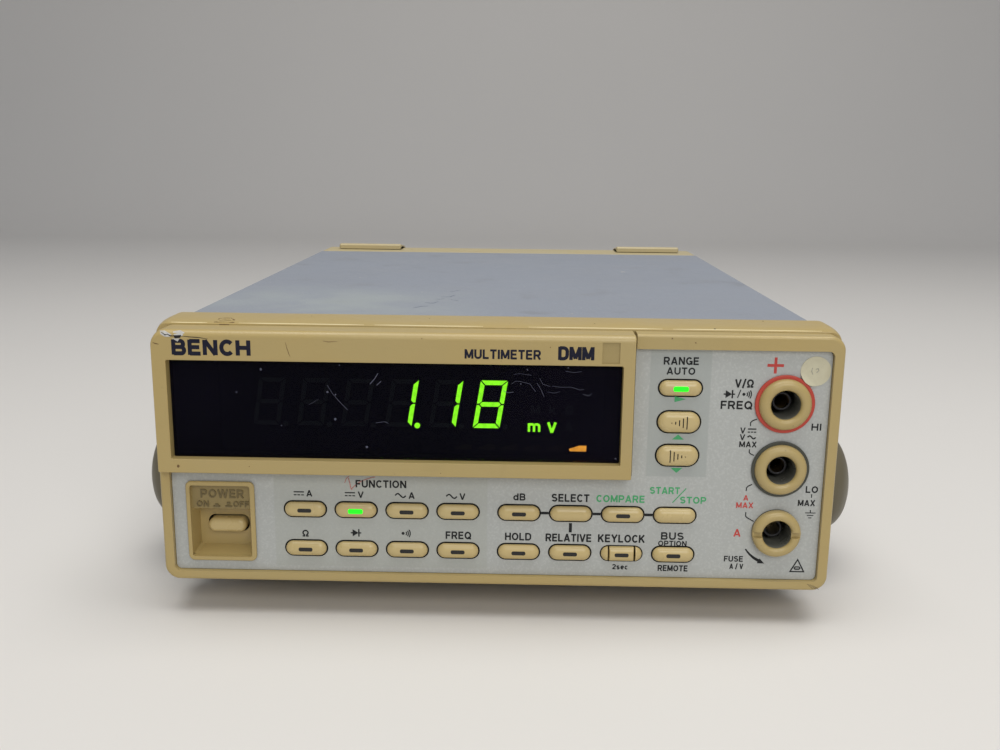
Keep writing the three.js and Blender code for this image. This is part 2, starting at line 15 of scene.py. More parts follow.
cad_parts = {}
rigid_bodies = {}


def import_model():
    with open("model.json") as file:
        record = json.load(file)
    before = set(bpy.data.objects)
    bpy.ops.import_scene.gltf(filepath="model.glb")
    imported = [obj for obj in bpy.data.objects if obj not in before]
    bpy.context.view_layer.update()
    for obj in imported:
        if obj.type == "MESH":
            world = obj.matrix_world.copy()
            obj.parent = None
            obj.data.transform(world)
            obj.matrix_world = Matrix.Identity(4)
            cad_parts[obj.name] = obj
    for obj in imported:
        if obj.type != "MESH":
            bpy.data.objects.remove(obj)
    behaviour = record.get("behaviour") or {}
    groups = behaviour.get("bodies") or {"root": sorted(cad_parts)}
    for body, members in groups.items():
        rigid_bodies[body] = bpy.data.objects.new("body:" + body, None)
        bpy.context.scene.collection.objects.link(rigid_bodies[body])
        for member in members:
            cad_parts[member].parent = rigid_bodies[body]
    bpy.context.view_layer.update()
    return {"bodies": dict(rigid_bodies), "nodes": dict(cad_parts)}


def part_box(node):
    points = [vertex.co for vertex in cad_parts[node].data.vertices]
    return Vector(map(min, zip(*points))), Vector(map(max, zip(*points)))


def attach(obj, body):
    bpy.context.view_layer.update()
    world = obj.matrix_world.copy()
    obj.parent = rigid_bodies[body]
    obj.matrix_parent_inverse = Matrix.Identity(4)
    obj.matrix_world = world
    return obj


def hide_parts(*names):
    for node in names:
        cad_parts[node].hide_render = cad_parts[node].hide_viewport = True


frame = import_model()
random.seed(7)

MM = 0.001
panel_lo, panel_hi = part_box("control_panel")
ORIGIN = Vector(((panel_lo.x + panel_hi.x) / 2, panel_lo.y, panel_lo.z))
TO_FRAME = Matrix.Translation(ORIGIN) @ Matrix.Scale(MM, 4)
scene = bpy.context.scene
scene.view_settings.view_transform = "Standard"


def span(node):
    """A CAD node's lowest and highest corners, in millimetres from the panel."""
    lo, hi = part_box(node)
    return (lo - ORIGIN) / MM, (hi - ORIGIN) / MM


def centre(node):
    """The X and Z of a CAD node's middle."""
    lo, hi = span(node)
    return (lo.x + hi.x) / 2, (lo.z + hi.z) / 2


# ---- outlines in X and Z


def arc(x, z, r, start, end, n):
    angles = [math.radians(start + (end - start) * i / n) for i in range(n + 1)]
    return [(x + r * math.cos(a), z + r * math.sin(a)) for a in angles]


def rounded(left, right, bottom, top, r, n=8):
    """A rectangle, with one corner radius or four: lower left, lower right, upper right, upper left."""
    r = [r] * 4 if isinstance(r, (int, float)) else r
    corners = [(left, bottom, 1, 1, 180), (right, bottom, -1, 1, 270),
               (right, top, -1, -1, 0), (left, top, 1, -1, 90)]
    out = []
    for radius, (x, z, sx, sz, start) in zip(r, corners):
        if radius:
            out += arc(x + sx * radius, z + sz * radius, radius, start, start + 90, n)
        else:
            out.append((x, z))
    return out


def centred(x, z, w, h, r, n=8):
    return rounded(x - w / 2, x + w / 2, z - h / 2, z + h / 2, r, n)


def around(n):
    return [2 * math.pi * i / n for i in range(n)]


def pill(x, z, w, h, n=14):
    r = h / 2
    return arc(x + w / 2 - r, z, r, -90, 90, n) + arc(x - w / 2 + r, z, r, 90, 270, n)


def circle(x, z, r, n=48):
    return arc(x, z, r, 0, 360, n)[:-1]


def inset(loop, d):
    """The loop moved d to its left, which is into the material."""
    if not d:
        return list(loop)
    out = []
    for i, b in enumerate(loop):
        a, c = loop[i - 1], loop[(i + 1) % len(loop)]
        e = Vector((b[0] - a[0], b[1] - a[1])).normalized()
        f = Vector((c[0] - b[0], c[1] - b[1])).normalized()
        m = Vector((-e.y - f.y, e.x + f.x)) / (1 + e.dot(f))
        out.append((b[0] + d * m.x, b[1] + d * m.y))
    return out


def fillet(points, radii, n=5):
    """An open or closed profile with its corners rounded. Radius 0 keeps a corner."""
    out = []
    for i, (p, r) in enumerate(zip(points, radii)):
        if not r:
            out.append(tuple(p))
            continue
        p, a, c = Vector(p), Vector(points[i - 1]), Vector(points[(i + 1) % len(points)])
        u, v = (a - p).normalized(), (c - p).normalized()
        half = u.angle(v) / 2
        reach = r / math.tan(half)
        centre = p + (u + v).normalized() * (r / math.sin(half))
        s, e = p + u * reach - centre, p + v * reach - centre
        turn = s.angle_signed(e)
        for k in range(n + 1):
            q = s.copy()
            q.rotate(Matrix.Rotation(-turn * k / n, 2))
            out.append(tuple(centre + q))
    return out


# ---- meshes


def cap(bm, rings):
    verts = [v for ring in rings for v in ring]
    for t in tessellate_polygon([[Vector((v.co.x, v.co.z, 0)) for v in ring] for ring in rings]):
        bm.faces.new([verts[i] for i in t])


def bridge(bm, a, b):
    n = max(len(a), len(b))
    if len(a) == len(b) == 1:
        return
    for i in range(n):
        j = (i + 1) % n
        if len(a) == 1:
            bm.faces.new((a[0], b[j], b[i]))
        elif len(b) == 1:
            bm.faces.new((a[i], a[j], b[0]))
        else:
            bm.faces.new((a[i], a[j], b[j], b[i]))


def quarter(n):
    return [math.pi / 2 * k / n for k in range(n + 1)]


def edge(back, front, r_front, r_back=0.0, n=4):
    """The side of a plate as [inset, y] steps, from its back to its front, with rounded edges."""
    rear = [(r_back * (1 - math.sin(a)), back - r_back * (1 - math.cos(a))) for a in quarter(n)]
    fore = [(r_front * (1 - math.cos(a)), front + r_front * (1 - math.sin(a))) for a in quarter(n)]
    return (rear if r_back else [(0, back)]) + (fore if r_front else [(0, front)])


def lofted(rings, holes=(), bm=None):
    """Skins (y, points) rings. Each hole is such a list of its own."""
    bm = bm or bmesh.new()
    first, last = [], []
    for i, loops in enumerate([rings, *holes]):
        previous = None
        for y, points in loops:
            ring = [bm.verts.new((x, y, z)) for x, z in (points[::-1] if i else points)]
            if previous:
                bridge(bm, previous, ring)
            else:
                first.append(ring)
            previous = ring
        last.append(previous)
    cap(bm, first)
    cap(bm, last)
    return bm


def solid(outer, steps, holes=(), hole_steps=None, bm=None):
    """An outline swept through [inset, y] steps, with holes that have steps of their own."""
    sides = [[(y, inset(h[::-1], d)[::-1]) for d, y in hole_steps or steps] for h in holes]
    return lofted([(y, inset(outer, d)) for d, y in steps], sides, bm)


def turned(profile, x, z, n, closed=False):
    """A profile of [radius, y] turned about an axis along Y."""
    bm = bmesh.new()
    rings = []
    angles = around(n)
    for r, y in profile:
        if r < 1e-6:
            rings.append([bm.verts.new((x, y, z))])
        else:
            rings.append([bm.verts.new((x + r * math.cos(a), y, z + r * math.sin(a))) for a in angles])
    for a, b in zip(rings, rings[1:] + rings[:1] if closed else rings[1:]):
        bridge(bm, a, b)
    return bm


def boolean(bm, cutters, operation="DIFFERENCE"):
    """bm less each cutter, or joined with it. The cutters are freed."""

    def as_object(source):
        bmesh.ops.recalc_face_normals(source, faces=source.faces)
        mesh = bpy.data.meshes.new("operand")
        source.to_mesh(mesh)
        source.free()
        ob = bpy.data.objects.new("operand", mesh)
        scene.collection.objects.link(ob)
        return ob

    target = as_object(bm)
    operands = [as_object(c) for c in cutters]
    for ob in operands:
        m = target.modifiers.new("cut", "BOOLEAN")
        m.operation, m.solver, m.object = operation, "EXACT", ob
    done = target.evaluated_get(bpy.context.evaluated_depsgraph_get())
    out = bmesh.new()
    out.from_mesh(done.to_mesh())
    done.to_mesh_clear()
    for ob in [target] + operands:
        mesh = ob.data
        bpy.data.objects.remove(ob)
        bpy.data.meshes.remove(mesh)
    return out


def piece(name, bm, body, looks, slot, replaces=(), crease=32, parts=None):
    """Makes a mesh in panel millimetres into a piece that rides on a body."""
    bmesh.ops.recalc_face_normals(bm, faces=bm.faces)
    if parts:
        for f in bm.faces:
            f.material_index = parts(f.calc_center_median(), f.normal)
    bm.transform(TO_FRAME)
    mesh = bpy.data.meshes.new(name)
    bm.to_mesh(mesh)
    bm.free()
    for look in looks if isinstance(looks, (list, tuple)) else [looks]:
        mesh.materials.append(look)
    mesh.shade_smooth()
    mesh.set_sharp_from_angle(angle=math.radians(crease))
    ob = bpy.data.objects.new(name, mesh)
    scene.collection.objects.link(ob)
    normals = ob.modifiers.new("normals", "WEIGHTED_NORMAL")
    normals.keep_sharp = True
    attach(ob, body)
    if replaces:
        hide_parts(*([replaces] if isinstance(replaces, str) else replaces))
    return ob


# ---- materials


NOISE_ROUGHNESS = 0.55
# The colour sockets of a Mix node.
MIX_FACTOR, MIX_A, MIX_B, MIX_RESULT = 0, 6, 7, 2


def shade(color, k):
    return tuple(c * k for c in color)


class Look:
    """A procedural material: a Principled surface and the nodes that feed it."""

    def __init__(self, name, color, rough=0.5, metal=0.0, specular=0.5):
        self.material = bpy.data.materials.new(name)
        self.material.use_nodes = True
        self.tree = self.material.node_tree
        self.surface = self.tree.nodes["Principled BSDF"]
        self.set("Base Color", (*color, 1))
        self.set("Roughness", rough)
        self.set("Metallic", metal)
        self.set("Specular IOR Level", specular)
        self.color = self.node("ShaderNodeRGB").outputs[0]
        self.color.default_value = (*color, 1)
        self.place = self.node("ShaderNodeTexCoord").outputs["Object"]

    def node(self, kind, inputs=None, **settings):
        n = self.tree.nodes.new(kind)
        for key, value in settings.items():
            setattr(n, key, value)
        for key, value in (inputs or {}).items():
            self.feed(n.inputs[key], value)
        return n

    def feed(self, socket, value):
        if isinstance(value, bpy.types.NodeSocket):
            self.tree.links.new(value, socket)
        else:
            socket.default_value = value

    def set(self, key, value):
        self.feed(self.surface.inputs[key], value)

    def noise(self, scale, detail=2.0, stretch=(1, 1, 1), offset=(0, 0, 0), distortion=0.0):
        where = self.node("ShaderNodeMapping", {"Vector": self.place, "Scale": stretch, "Location": offset})
        inputs = {"Vector": where.outputs[0], "Scale": scale, "Detail": detail,
                  "Roughness": NOISE_ROUGHNESS, "Distortion": distortion}
        return self.node("ShaderNodeTexNoise", inputs).outputs["Fac"]

    def cells(self, scale, stretch=(1, 1, 1)):
        where = self.node("ShaderNodeMapping", {"Vector": self.place, "Scale": stretch})
        return self.node("ShaderNodeTexVoronoi", {"Vector": where.outputs[0], "Scale": scale}).outputs[0]

    def ramp(self, value, low, high, out_low=0.0, out_high=1.0):
        inputs = {"Value": value, "From Min": low, "From Max": high, "To Min": out_low, "To Max": out_high}
        return self.node("ShaderNodeMapRange", inputs, interpolation_type="SMOOTHSTEP").outputs[0]

    def math(self, operation, a, b):
        n = self.node("ShaderNodeMath", operation=operation)
        self.feed(n.inputs[0], a)
        self.feed(n.inputs[1], b)
        return n.outputs[0]

    def times(self, first, *others):
        for other in others:
            first = self.math("MULTIPLY", first, other)
        return first

    def tint(self, factor, color):
        """Lays a colour over the base colour where factor is high."""
        n = self.node("ShaderNodeMix", data_type="RGBA", blend_type="MIX")
        self.feed(n.inputs[MIX_FACTOR], factor)
        self.feed(n.inputs[MIX_A], self.color)
        self.feed(n.inputs[MIX_B], (*color, 1))
        self.color = n.outputs[MIX_RESULT]

    def axis(self, which):
        """X, Y or Z in millimetres from the panel."""
        parts = self.node("ShaderNodeSeparateXYZ", {0: self.place})
        moved = self.math("SUBTRACT", parts.outputs[which], ORIGIN["XYZ".index(which)])
        return self.times(moved, 1 / MM)

    def within(self, which, low, high, soft=0.5):
        """1 where the axis is between low and high."""
        a = self.axis(which)
        rise = self.ramp(a, low - soft / 2, low + soft / 2)
        fall = self.ramp(a, high - soft / 2, high + soft / 2, 1.0, 0.0)
        return self.times(rise, fall)

    def bumps(self, *layers):
        """Each layer is (height, distance in metres, strength)."""
        normal = None
        for height, distance, strength in layers:
            n = self.node("ShaderNodeBump", {"Height": height, "Distance": distance, "Strength": strength})
            if normal:
                self.feed(n.inputs["Normal"], normal)
            normal = n.outputs[0]
        self.set("Normal", normal)

    def finish(self):
        if self.color.node.type != "RGB":
            self.set("Base Color", self.color)
        return self.material


def plastic(name, color, rough=0.46, grime=0.5, grain=1500, grain_depth=0.00006, yellow=0.35, specular=0.42):
    """Moulded plastic that has aged: uneven tone, dirt, polished patches and a spark-eroded grain."""
    m = Look(name, color, rough, specular=specular)
    uneven = m.ramp(m.noise(26, 3), 0.3, 0.7)
    m.tint(m.times(uneven, yellow), tuple(c * k for c, k in zip(color, (1.08, 1.0, 0.78))))
    smudge = m.ramp(m.noise(75, 4, distortion=0.6), 0.56, 0.8)
    m.tint(m.times(smudge, 0.22 * grime), shade(color, 0.55))
    specks = m.ramp(m.cells(420), 0.0, 0.16, 1.0, 0.0)
    chosen = m.ramp(m.noise(160, 1), 0.62, 0.66)
    m.tint(m.times(specks, chosen, 0.75 * grime), shade(color, 0.28))
    worn = m.ramp(m.noise(44, 5, offset=(3, 1, 2)), 0.35, 0.75, rough - 0.07, rough + 0.1)
    m.set("Roughness", worn)
    m.bumps((m.noise(grain, 2), grain_depth, 0.5), (m.noise(120, 2), 0.0001, 0.25))
    return m.finish()


def painted(name, color, rough=0.5, peel=900, tone=0.12):
    """Sprayed paint on sheet metal: orange peel, faint rubs and uneven tone."""
    m = Look(name, color, rough, specular=0.4)
    m.tint(m.ramp(m.noise(14, 4), 0.3, 0.75, 0, tone), shade(color, 0.72))
    m.tint(m.ramp(m.noise(1700, 1), 0.45, 0.72, 0, 0.35), tuple(min(1, c * 1.3) for c in color))
    m.set("Roughness", m.ramp(m.noise(40, 4), 0.3, 0.7, rough - 0.06, rough + 0.08))
    m.bumps((m.noise(peel, 2), 0.00008, 0.45))
    return m


TAN = (0.425, 0.326, 0.137)
KEY = (0.54, 0.425, 0.20)
tan = plastic("tan_plastic", TAN, rough=0.36, specular=0.5)
# A darker tan, painted on the power surround's sunken plate as shade.
plate_shade_tan = plastic("tan_plate_painted_shade", shade(TAN, 0.62), grime=0.9)
tan_shade = plastic("tan_shade", shade(TAN, 0.84))
# A pale tan, painted along the front frame's edge as a highlight where the edge is also worn.
tan_highlight_and_wear = plastic("tan_highlight_and_wear", (0.78, 0.69, 0.44), grime=0.2)
tan_pale = plastic("tan_pale", (0.47, 0.40, 0.235))
# A still darker tan for the power marks' raised letters, as painted shade.
shaded_letter_tan = plastic("tan_letters_painted_shade", shade(TAN, 0.34), grime=0.5)
key_tan = plastic("key_plastic", KEY, rough=0.3, specular=0.5, grime=0.25, grain=2200, grain_depth=0.00002,
                  yellow=0.25)
taupe = plastic("handle_plastic", (0.125, 0.108, 0.07), rough=0.42, grime=0.6, yellow=0.2)
black = plastic("black_plastic", (0.018, 0.018, 0.02), rough=0.45, grime=0.2, yellow=0.0)
red_ring = plastic("red_plastic", (0.47, 0.055, 0.035), rough=0.38, grime=0.4, yellow=0.1)
dark_ring = plastic("dark_plastic", (0.055, 0.058, 0.045), rough=0.4, grime=0.3, yellow=0.1)
liner = plastic("socket_liner", (0.17, 0.17, 0.145), rough=0.32, grime=0.5, yellow=0.1)
# Black for the display mask, the display tube and cracks, and painted as shade in the gaps round the keys, sockets
# and power knob.
black_and_gap_shade = plastic("black_mask_and_gap_shade", (0.006, 0.006, 0.008), rough=0.6, grime=0.1, yellow=0.0)
rubber = plastic("foot_rubber", (0.035, 0.034, 0.032), rough=0.75, grime=0.8, grain=900, yellow=0.0)


def cover_look():
    m = painted("cover_paint", (0.262, 0.285, 0.33))
    scratches = m.ramp(m.noise(60, 2, stretch=(1, 0.08, 1), distortion=0.3), 0.66, 0.72)
    fine = m.ramp(m.noise(700, 2), 0.4, 0.6)
    m.tint(m.times(scratches, fine, 0.16), (0.5, 0.52, 0.55))
    dirt = m.ramp(m.noise(48, 5, offset=(5, 2, 1)), 0.58, 0.76)
    m.tint(m.times(dirt, 0.24), (0.15, 0.145, 0.14))
    dust = m.ramp(m.cells(260), 0.0, 0.12, 1.0, 0.0)
    chosen = m.ramp(m.noise(90, 1, offset=(2, 7, 1)), 0.62, 0.66)
    m.tint(m.times(dust, chosen, 0.6), (0.55, 0.57, 0.6))
    hazed = m.times(m.within("X", -96, -20, 60), m.within("Y", 14, 80, 44))
    cloud = m.ramp(m.noise(34, 4, offset=(4, 4, 4)), 0.35, 0.65, 0.15, 0.6)
    m.tint(m.times(hazed, cloud), (0.36, 0.395, 0.385))
    return m.finish()


def panel_look():
    m = painted("panel_paint", (0.425, 0.44, 0.425), rough=0.42, peel=1400, tone=0.06)
    function_area = m.times(m.within("X", -64.5, -2.2), m.within("Z", 1.6, 29.5))
    range_area = m.times(m.within("X", 43.4, 60.6), m.within("Z", 31.0, 68.0))
    m.tint(m.times(function_area, 0.55), (0.385, 0.40, 0.365))
    m.tint(m.times(range_area, 0.8), (0.36, 0.385, 0.37))
    smear = m.ramp(m.noise(30, 4, offset=(1, 4, 2)), 0.58, 0.8)
    m.tint(m.times(smear, 0.12), (0.24, 0.24, 0.22))
    return m.finish()


cover_paint = cover_look()
panel_paint = panel_look()


def window_look():
    m = Look("window", (0.002, 0.002, 0.005), 0.06, specular=0.035)
    m.tint(m.ramp(m.noise(9, 3), 0.45, 0.75, 0, 0.5), (0.008, 0.006, 0.015))
    m.set("Roughness", m.ramp(m.noise(35, 5, distortion=0.5), 0.4, 0.75, 0.05, 0.16))
    m.bumps((m.noise(60, 1), 0.00003, 0.05))
    m.set("Alpha", 0.72)
    return m.finish()


def glow(name, color, strength):
    """A lit surface, a little uneven in brightness."""
    m = Look(name, color, 0.5)
    level = m.ramp(m.noise(900, 2), 0.3, 0.7, 0.75 * strength, strength)
    m.set("Emission Color", (*color, 1))
    m.set("Emission Strength", level)
    return m.finish()


def ink(name, color, cover=0.94):
    """Screen-printed ink, slightly uneven."""
    m = Look(name, color, 0.55, specular=0.15)
    m.tint(m.ramp(m.noise(1200, 2), 0.45, 0.75, 0, 1 - cover), tuple(min(1, c * 2.2 + 0.1) for c in color))
    m.set("Roughness", m.ramp(m.noise(500, 2), 0.3, 0.7, 0.48, 0.66))
    return m.finish()


window = window_look()
ink_dark = ink("legend_ink", (0.018, 0.019, 0.02), 0.95)
ink_navy = ink("legend_navy", (0.011, 0.012, 0.026), 0.95)
ink_green = ink("legend_green", (0.075, 0.36, 0.15), 0.9)
ink_red = ink("legend_red", (0.50, 0.07, 0.06), 0.88)
ink_pen = ink("pen_mark", (0.40, 0.16, 0.14), 0.75)
ink_blue = ink("ink_mark", (0.12, 0.14, 0.19), 0.8)
lit_segment = glow("segments_green", (0.27, 1.0, 0.02), 14.0)
lit_bar = glow("segments_orange", (1.0, 0.42, 0.05), 9.0)
lamp_green = glow("led_green", (0.006, 0.9, 0.006), 1.0)
ghost = ink("segments_unlit", (0.26, 0.32, 0.30), 0.95)
ghost_bar = ink("bars_unlit", (0.24, 0.19, 0.11), 0.95)
lamp_off = plastic("led_off", (0.016, 0.015, 0.014), rough=0.55, grime=0.0, yellow=0.0)
scuff_pale = ink("scratch_pale", (0.10, 0.105, 0.15), 0.9)
faint_grey = ink("faint_grey", (0.33, 0.32, 0.26), 0.8)
chip_white = ink("chip_white", (0.46, 0.45, 0.42), 0.8)
stain = ink("stain", (0.16, 0.10, 0.045), 0.8)
smear_red = ink("smear_red", (0.44, 0.23, 0.20), 0.7)


def metal(name, color, rough=0.3):
    m = Look(name, color, rough, 1.0)
    m.tint(m.ramp(m.noise(220, 4), 0.45, 0.75, 0, 0.5), shade(color, 0.45))
    m.set("Roughness", m.ramp(m.noise(300, 3), 0.3, 0.7, rough - 0.08, rough + 0.15))
    m.bumps((m.noise(900, 2, stretch=(1, 0.2, 1)), 0.00004, 0.3))
    return m.finish()


screw_steel = metal("screw_steel", (0.55, 0.55, 0.53), 0.32)
brass = metal("contact_brass", (0.55, 0.42, 0.2), 0.3)
iron = metal("transformer_iron", (0.16, 0.16, 0.15), 0.55)


def paper_look():
    m = Look("label_cream", (0.58, 0.55, 0.40), 0.7)
    m.tint(m.ramp(m.noise(500, 4), 0.4, 0.75, 0, 0.25), (0.45, 0.41, 0.28))
    m.tint(m.ramp(m.noise(90, 3), 0.6, 0.75, 0, 0.4), (0.5, 0.45, 0.33))
    m.bumps((m.noise(1800, 3), 0.00004, 0.4))
    return m.finish()


def board_look():
    m = Look("circuit_board", (0.02, 0.11, 0.045), 0.4)
    tracks = m.ramp(m.cells(260, stretch=(1, 0.25, 1)), 0.08, 0.12, 1, 0)
    m.tint(m.times(tracks, 0.6), (0.05, 0.22, 0.09))
    m.bumps((tracks, 0.00005, 0.5))
    return m.finish()


paper = paper_look()
board = board_look()


# ---- lettering and strokes


def bow(x, z, across, up, start, end, n=16):
    """Points on part of an ellipse."""
    return [(x + across * px, z + up * pz) for px, pz in arc(0, 0, 1, start, end, n)]


# Each letter's width and strokes, in hundredths of its height. A stroke is its points, after the radius of its
# corners and a colon where it has one. A ~ starts part of an ellipse: its middle, half its size and two angles.
GLYPHS = {
    " ": (30, ""),
    "A": (90, "9 0 45 100, 81 0 45 100, 20 28 70 28"),
    "B": (80, "9 0 9 100, 19: 9 91 67 91 67 51 9 51, 20: 9 51 71 51 71 9 9 9"),
    "C": (80, "~ 43 50 34 41 42 318"),
    "D": (84, "9 0 9 100, 34: 9 91 75 91 75 9 9 9"),
    "E": (72, "9 0 9 100, 9 91 70 91, 9 51 66 51, 9 9 72 9"),
    "F": (68, "9 0 9 100, 9 91 68 91, 9 49 61 49"),
    "G": (87, "~ 44 50 35 41 42 325, 47 44 86 44, 79 2 79 50"),
    "H": (82, "9 0 9 100, 73 0 73 100, 9 51 73 51"),
    "I": (18, "9 0 9 100"),
    "K": (82, "9 0 9 100, 10 34 72 99, 34 56 74 1"),
    "L": (68, "9 0 9 100, 9 9 68 9"),
    "M": (98, "9 0 9 100, 89 0 89 100, 11 97 49 10, 87 97 49 10"),
    "N": (82, "9 0 9 100, 73 0 73 100, 11 97 71 3"),
    "O": (92, "~ 46 50 37 41 0 360"),
    "P": (78, "9 0 9 100, 22: 9 91 69 91 69 43 9 43"),
    "Q": (92, "~ 46 50 37 41 0 360, 52 30 88 0"),
    "R": (82, "9 0 9 100, 22: 9 91 70 91 70 45 9 45, 44 46 74 0"),
    "S": (78, "~ 38 71 28 20 25 268 ~ 39 30 30 21 92 -155"),
    "T": (76, "0 91 76 91, 38 0 38 95"),
    "U": (82, "30: 9 100 9 9 73 9 73 100"),
    "V": (86, "8 100 43 0, 78 100 43 0"),
    "W": (120, "7 100 32 0, 60 100 32 0, 60 100 88 0, 113 100 88 0"),
    "X": (84, "9 0 75 100, 75 0 9 100"),
    "Y": (84, "7 100 42 44, 77 100 42 44, 42 0 42 50"),
    "Ω": (92, "2 9 40 9, 52 9 90 9, 32 5 ~ 46 58 36 34 242 -62 60 5"),
    "2": (72, "~ 36 66 27 25 165 -20 13 14, 3 9 70 9"),
    "c": (66, "~ 36 37 26 28 50 310"),
    "d": (72, "63 0 63 100, ~ 36 37 27 28 0 360"),
    "e": (68, "10 38 60 38, ~ 36 37 26 28 0 315"),
    "k": (74, "9 0 9 100, 10 26 62 72, 30 42 66 0"),
    "m": (110, "9 0 9 75, 18: 9 30 9 66 55 66 55 0, 18: 55 30 55 66 101 66 101 0"),
    "s": (62, "~ 30 52 20 14 25 268 ~ 31 23 22 14.5 92 -155"),
    "/": (46, "5 -8 41 108"),
}
LETTER_GAP = 0.17
INK = dict(y0=-0.04, y1=0.03)


def traced(text):
    """A stroke's corner radius and points, in letter heights."""
    radius, _, path = text.rpartition(":")
    words, points = path.split(), []
    while words:
        if words[0] == "~":
            size, turn = [float(v) / 100 for v in words[1:5]], [float(v) for v in words[5:7]]
            points += bow(*size, *turn)
            del words[:7]
        else:
            points.append((float(words[0]) / 100, float(words[1]) / 100))
            del words[:2]
    return float(radius or 0) / 100, points


def letters(bm, text, x, z, height, width=None, weight=0.205, y0=INK["y0"], y1=INK["y1"]):
    """Adds bold text of that cap height, centred on (x, z) and facing forwards."""
    total = sum(GLYPHS[c][0] / 100 for c in text) + LETTER_GAP * (len(text) - 1)
    across = width / total if width else height
    left = x - total * across / 2
    layer = 0
    for c in text:
        wide, strokes = GLYPHS[c]
        for r, points in [traced(t) for t in strokes.split(",") if t]:
            places = [(left + px * across, z + (pz - 0.5) * height) for px, pz in points]
            closed = math.dist(places[0], places[-1]) < 1e-4
            if closed:
                places.pop()
            if r:
                radii = [0] + [r * min(across, height)] * (len(places) - 2) + [0]
                places = fillet(places, radii, 6)
            # Strokes that cross lie at slightly different heights.
            stroke(bm, places, weight * height, y0 - 0.0006 * layer, y1, closed)
            layer = (layer + 1) % 5
        left += (wide / 100 + LETTER_GAP) * across
    return bm


def stroke(bm, points, w, y0=INK["y0"], y1=INK["y1"], closed=False):
    """Adds a ribbon of width w along the points, with mitred corners."""
    last = len(points) - 1
    rungs = []
    for i, p in enumerate(points):
        p = Vector(p)
        before = (p - Vector(points[i - 1])).normalized() if closed or i else None
        after = (Vector(points[(i + 1) % len(points)]) - p).normalized() if closed or i < last else None
        e, f = before or after, after or before
        side = Vector((-e.y - f.y, e.x + f.x)) / max(1 + e.dot(f), 0.35) * (w / 2)
        a, b = p + side, p - side
        rungs.append([bm.verts.new((q.x, y, q.y)) for q, y in ((a, y0), (b, y0), (b, y1), (a, y1))])
    for i in range(len(points) if closed else last):
        bridge(bm, rungs[i], rungs[(i + 1) % len(points)])
    if not closed:
        bm.faces.new(rungs[0])
        bm.faces.new(rungs[-1])
    return bm


def polygon(bm, points, y0=INK["y0"], y1=INK["y1"]):
    return solid(points, [(0, y1), (0, y0)], bm=bm)


def bar(bm, x0, x1, z0, z1, y0=INK["y0"], y1=INK["y1"]):
    return polygon(bm, [(x0, z0), (x1, z0), (x1, z1), (x0, z1)], y0, y1)


def direct_mark(bm, x, z, w=3.0):
    """A line over three dashes."""
    bar(bm, x - w / 2, x + w / 2, z + 0.27, z + 0.62)
    dash = w * 0.27
    for i in (-1, 0, 1):
        middle = x + i * (w - dash) / 2
        bar(bm, middle - dash / 2, middle + dash / 2, z - 0.62, z - 0.3)


def wave_mark(bm, x, z, w=3.1, h=1.15):
    pts = [(x - w / 2 + w * i / 24, z + h / 2 * math.sin(2 * math.pi * i / 24)) for i in range(25)]
    stroke(bm, pts, 0.4)


def diode_mark(bm, x, z, h=2.3):
    polygon(bm, [(x - h * 0.42, z - h * 0.46), (x + h * 0.3, z), (x - h * 0.42, z + h * 0.46)])
    bar(bm, x + h * 0.26, x + h * 0.43, z - h * 0.48, z + h * 0.48)
    bar(bm, x - h * 0.65, x - h * 0.4, z - 0.18, z + 0.18)
    bar(bm, x + h * 0.4, x + h * 0.65, z - 0.18, z + 0.18)


def sound_mark(bm, x, z):
    polygon(bm, circle(x - 1.15, z, 0.45, 16))
    for i in range(3):
        r = 0.85 + i * 0.55
        stroke(bm, arc(x - 1.0, z, r, -36, 36, 10), 0.32)


# Text, X, Z and height in millimetres, and its width where that isn't the font's own.
DARK_WORDS = (
    ("FUNCTION", -33.15, 27.25, 2.25, 14.7), ("A", -54.15, 24.05, 1.9), ("V", -39.1, 23.9, 1.9),
    ("A", -24.25, 23.9, 1.95), ("V", -9.45, 23.85, 1.95), ("dB", 7.1, 24.05, 2.1, 3.5),
    ("SELECT", 21.95, 24.0, 2.35, 10.9), ("Ω", -55.6, 11.7, 2.05), ("FREQ", -10.6, 11.9, 2.3, 7.4),
    ("HOLD", 6.9, 11.85, 2.3, 7.6), ("RELATIVE", 21.65, 11.75, 2.4, 13.3), ("KEYLOCK", 37.1, 11.8, 2.4, 13.6),
    ("BUS", 51.9, 12.85, 2.25, 6.6), ("OPTION", 52.0, 10.55, 1.65, 8.25), ("2sec", 37.0, 3.0, 1.6, 4.6),
    ("REMOTE", 52.45, 2.85, 1.85, 8.7), ("RANGE", 52.0, 65.0, 2.2, 9.8), ("AUTO", 52.0, 62.1, 2.05, 8.0),
    ("V/Ω", 70.0, 58.8, 2.35, 5.2), ("FREQ", 68.15, 52.5, 2.4, 8.9), ("HI", 91.1, 46.4, 2.05, 2.8),
    ("LO", 91.25, 27.8, 2.0, 3.5), ("MAX", 90.0, 23.7, 1.8, 4.9), ("V", 70.4, 45.1, 1.7),
    ("V", 70.4, 43.1, 1.7), ("MAX", 72.1, 41.0, 1.7, 4.9), ("FUSE", 70.05, 6.15, 1.75, 5.5),
    ("A / V", 71.0, 3.8, 1.6, 3.9),
)
GREEN_WORDS = (
    ("COMPARE", 36.4, 24.0, 2.15, 13.9), ("START", 49.1, 26.75, 2.05, 8.6), ("STOP", 57.35, 23.95, 2.05, 7.5),
)
RED_WORDS = (
    ("A", 70.6, 14.2, 2.3), ("A", 72.5, 24.95, 1.6), ("MAX", 72.3, 22.7, 1.7, 4.9),
)


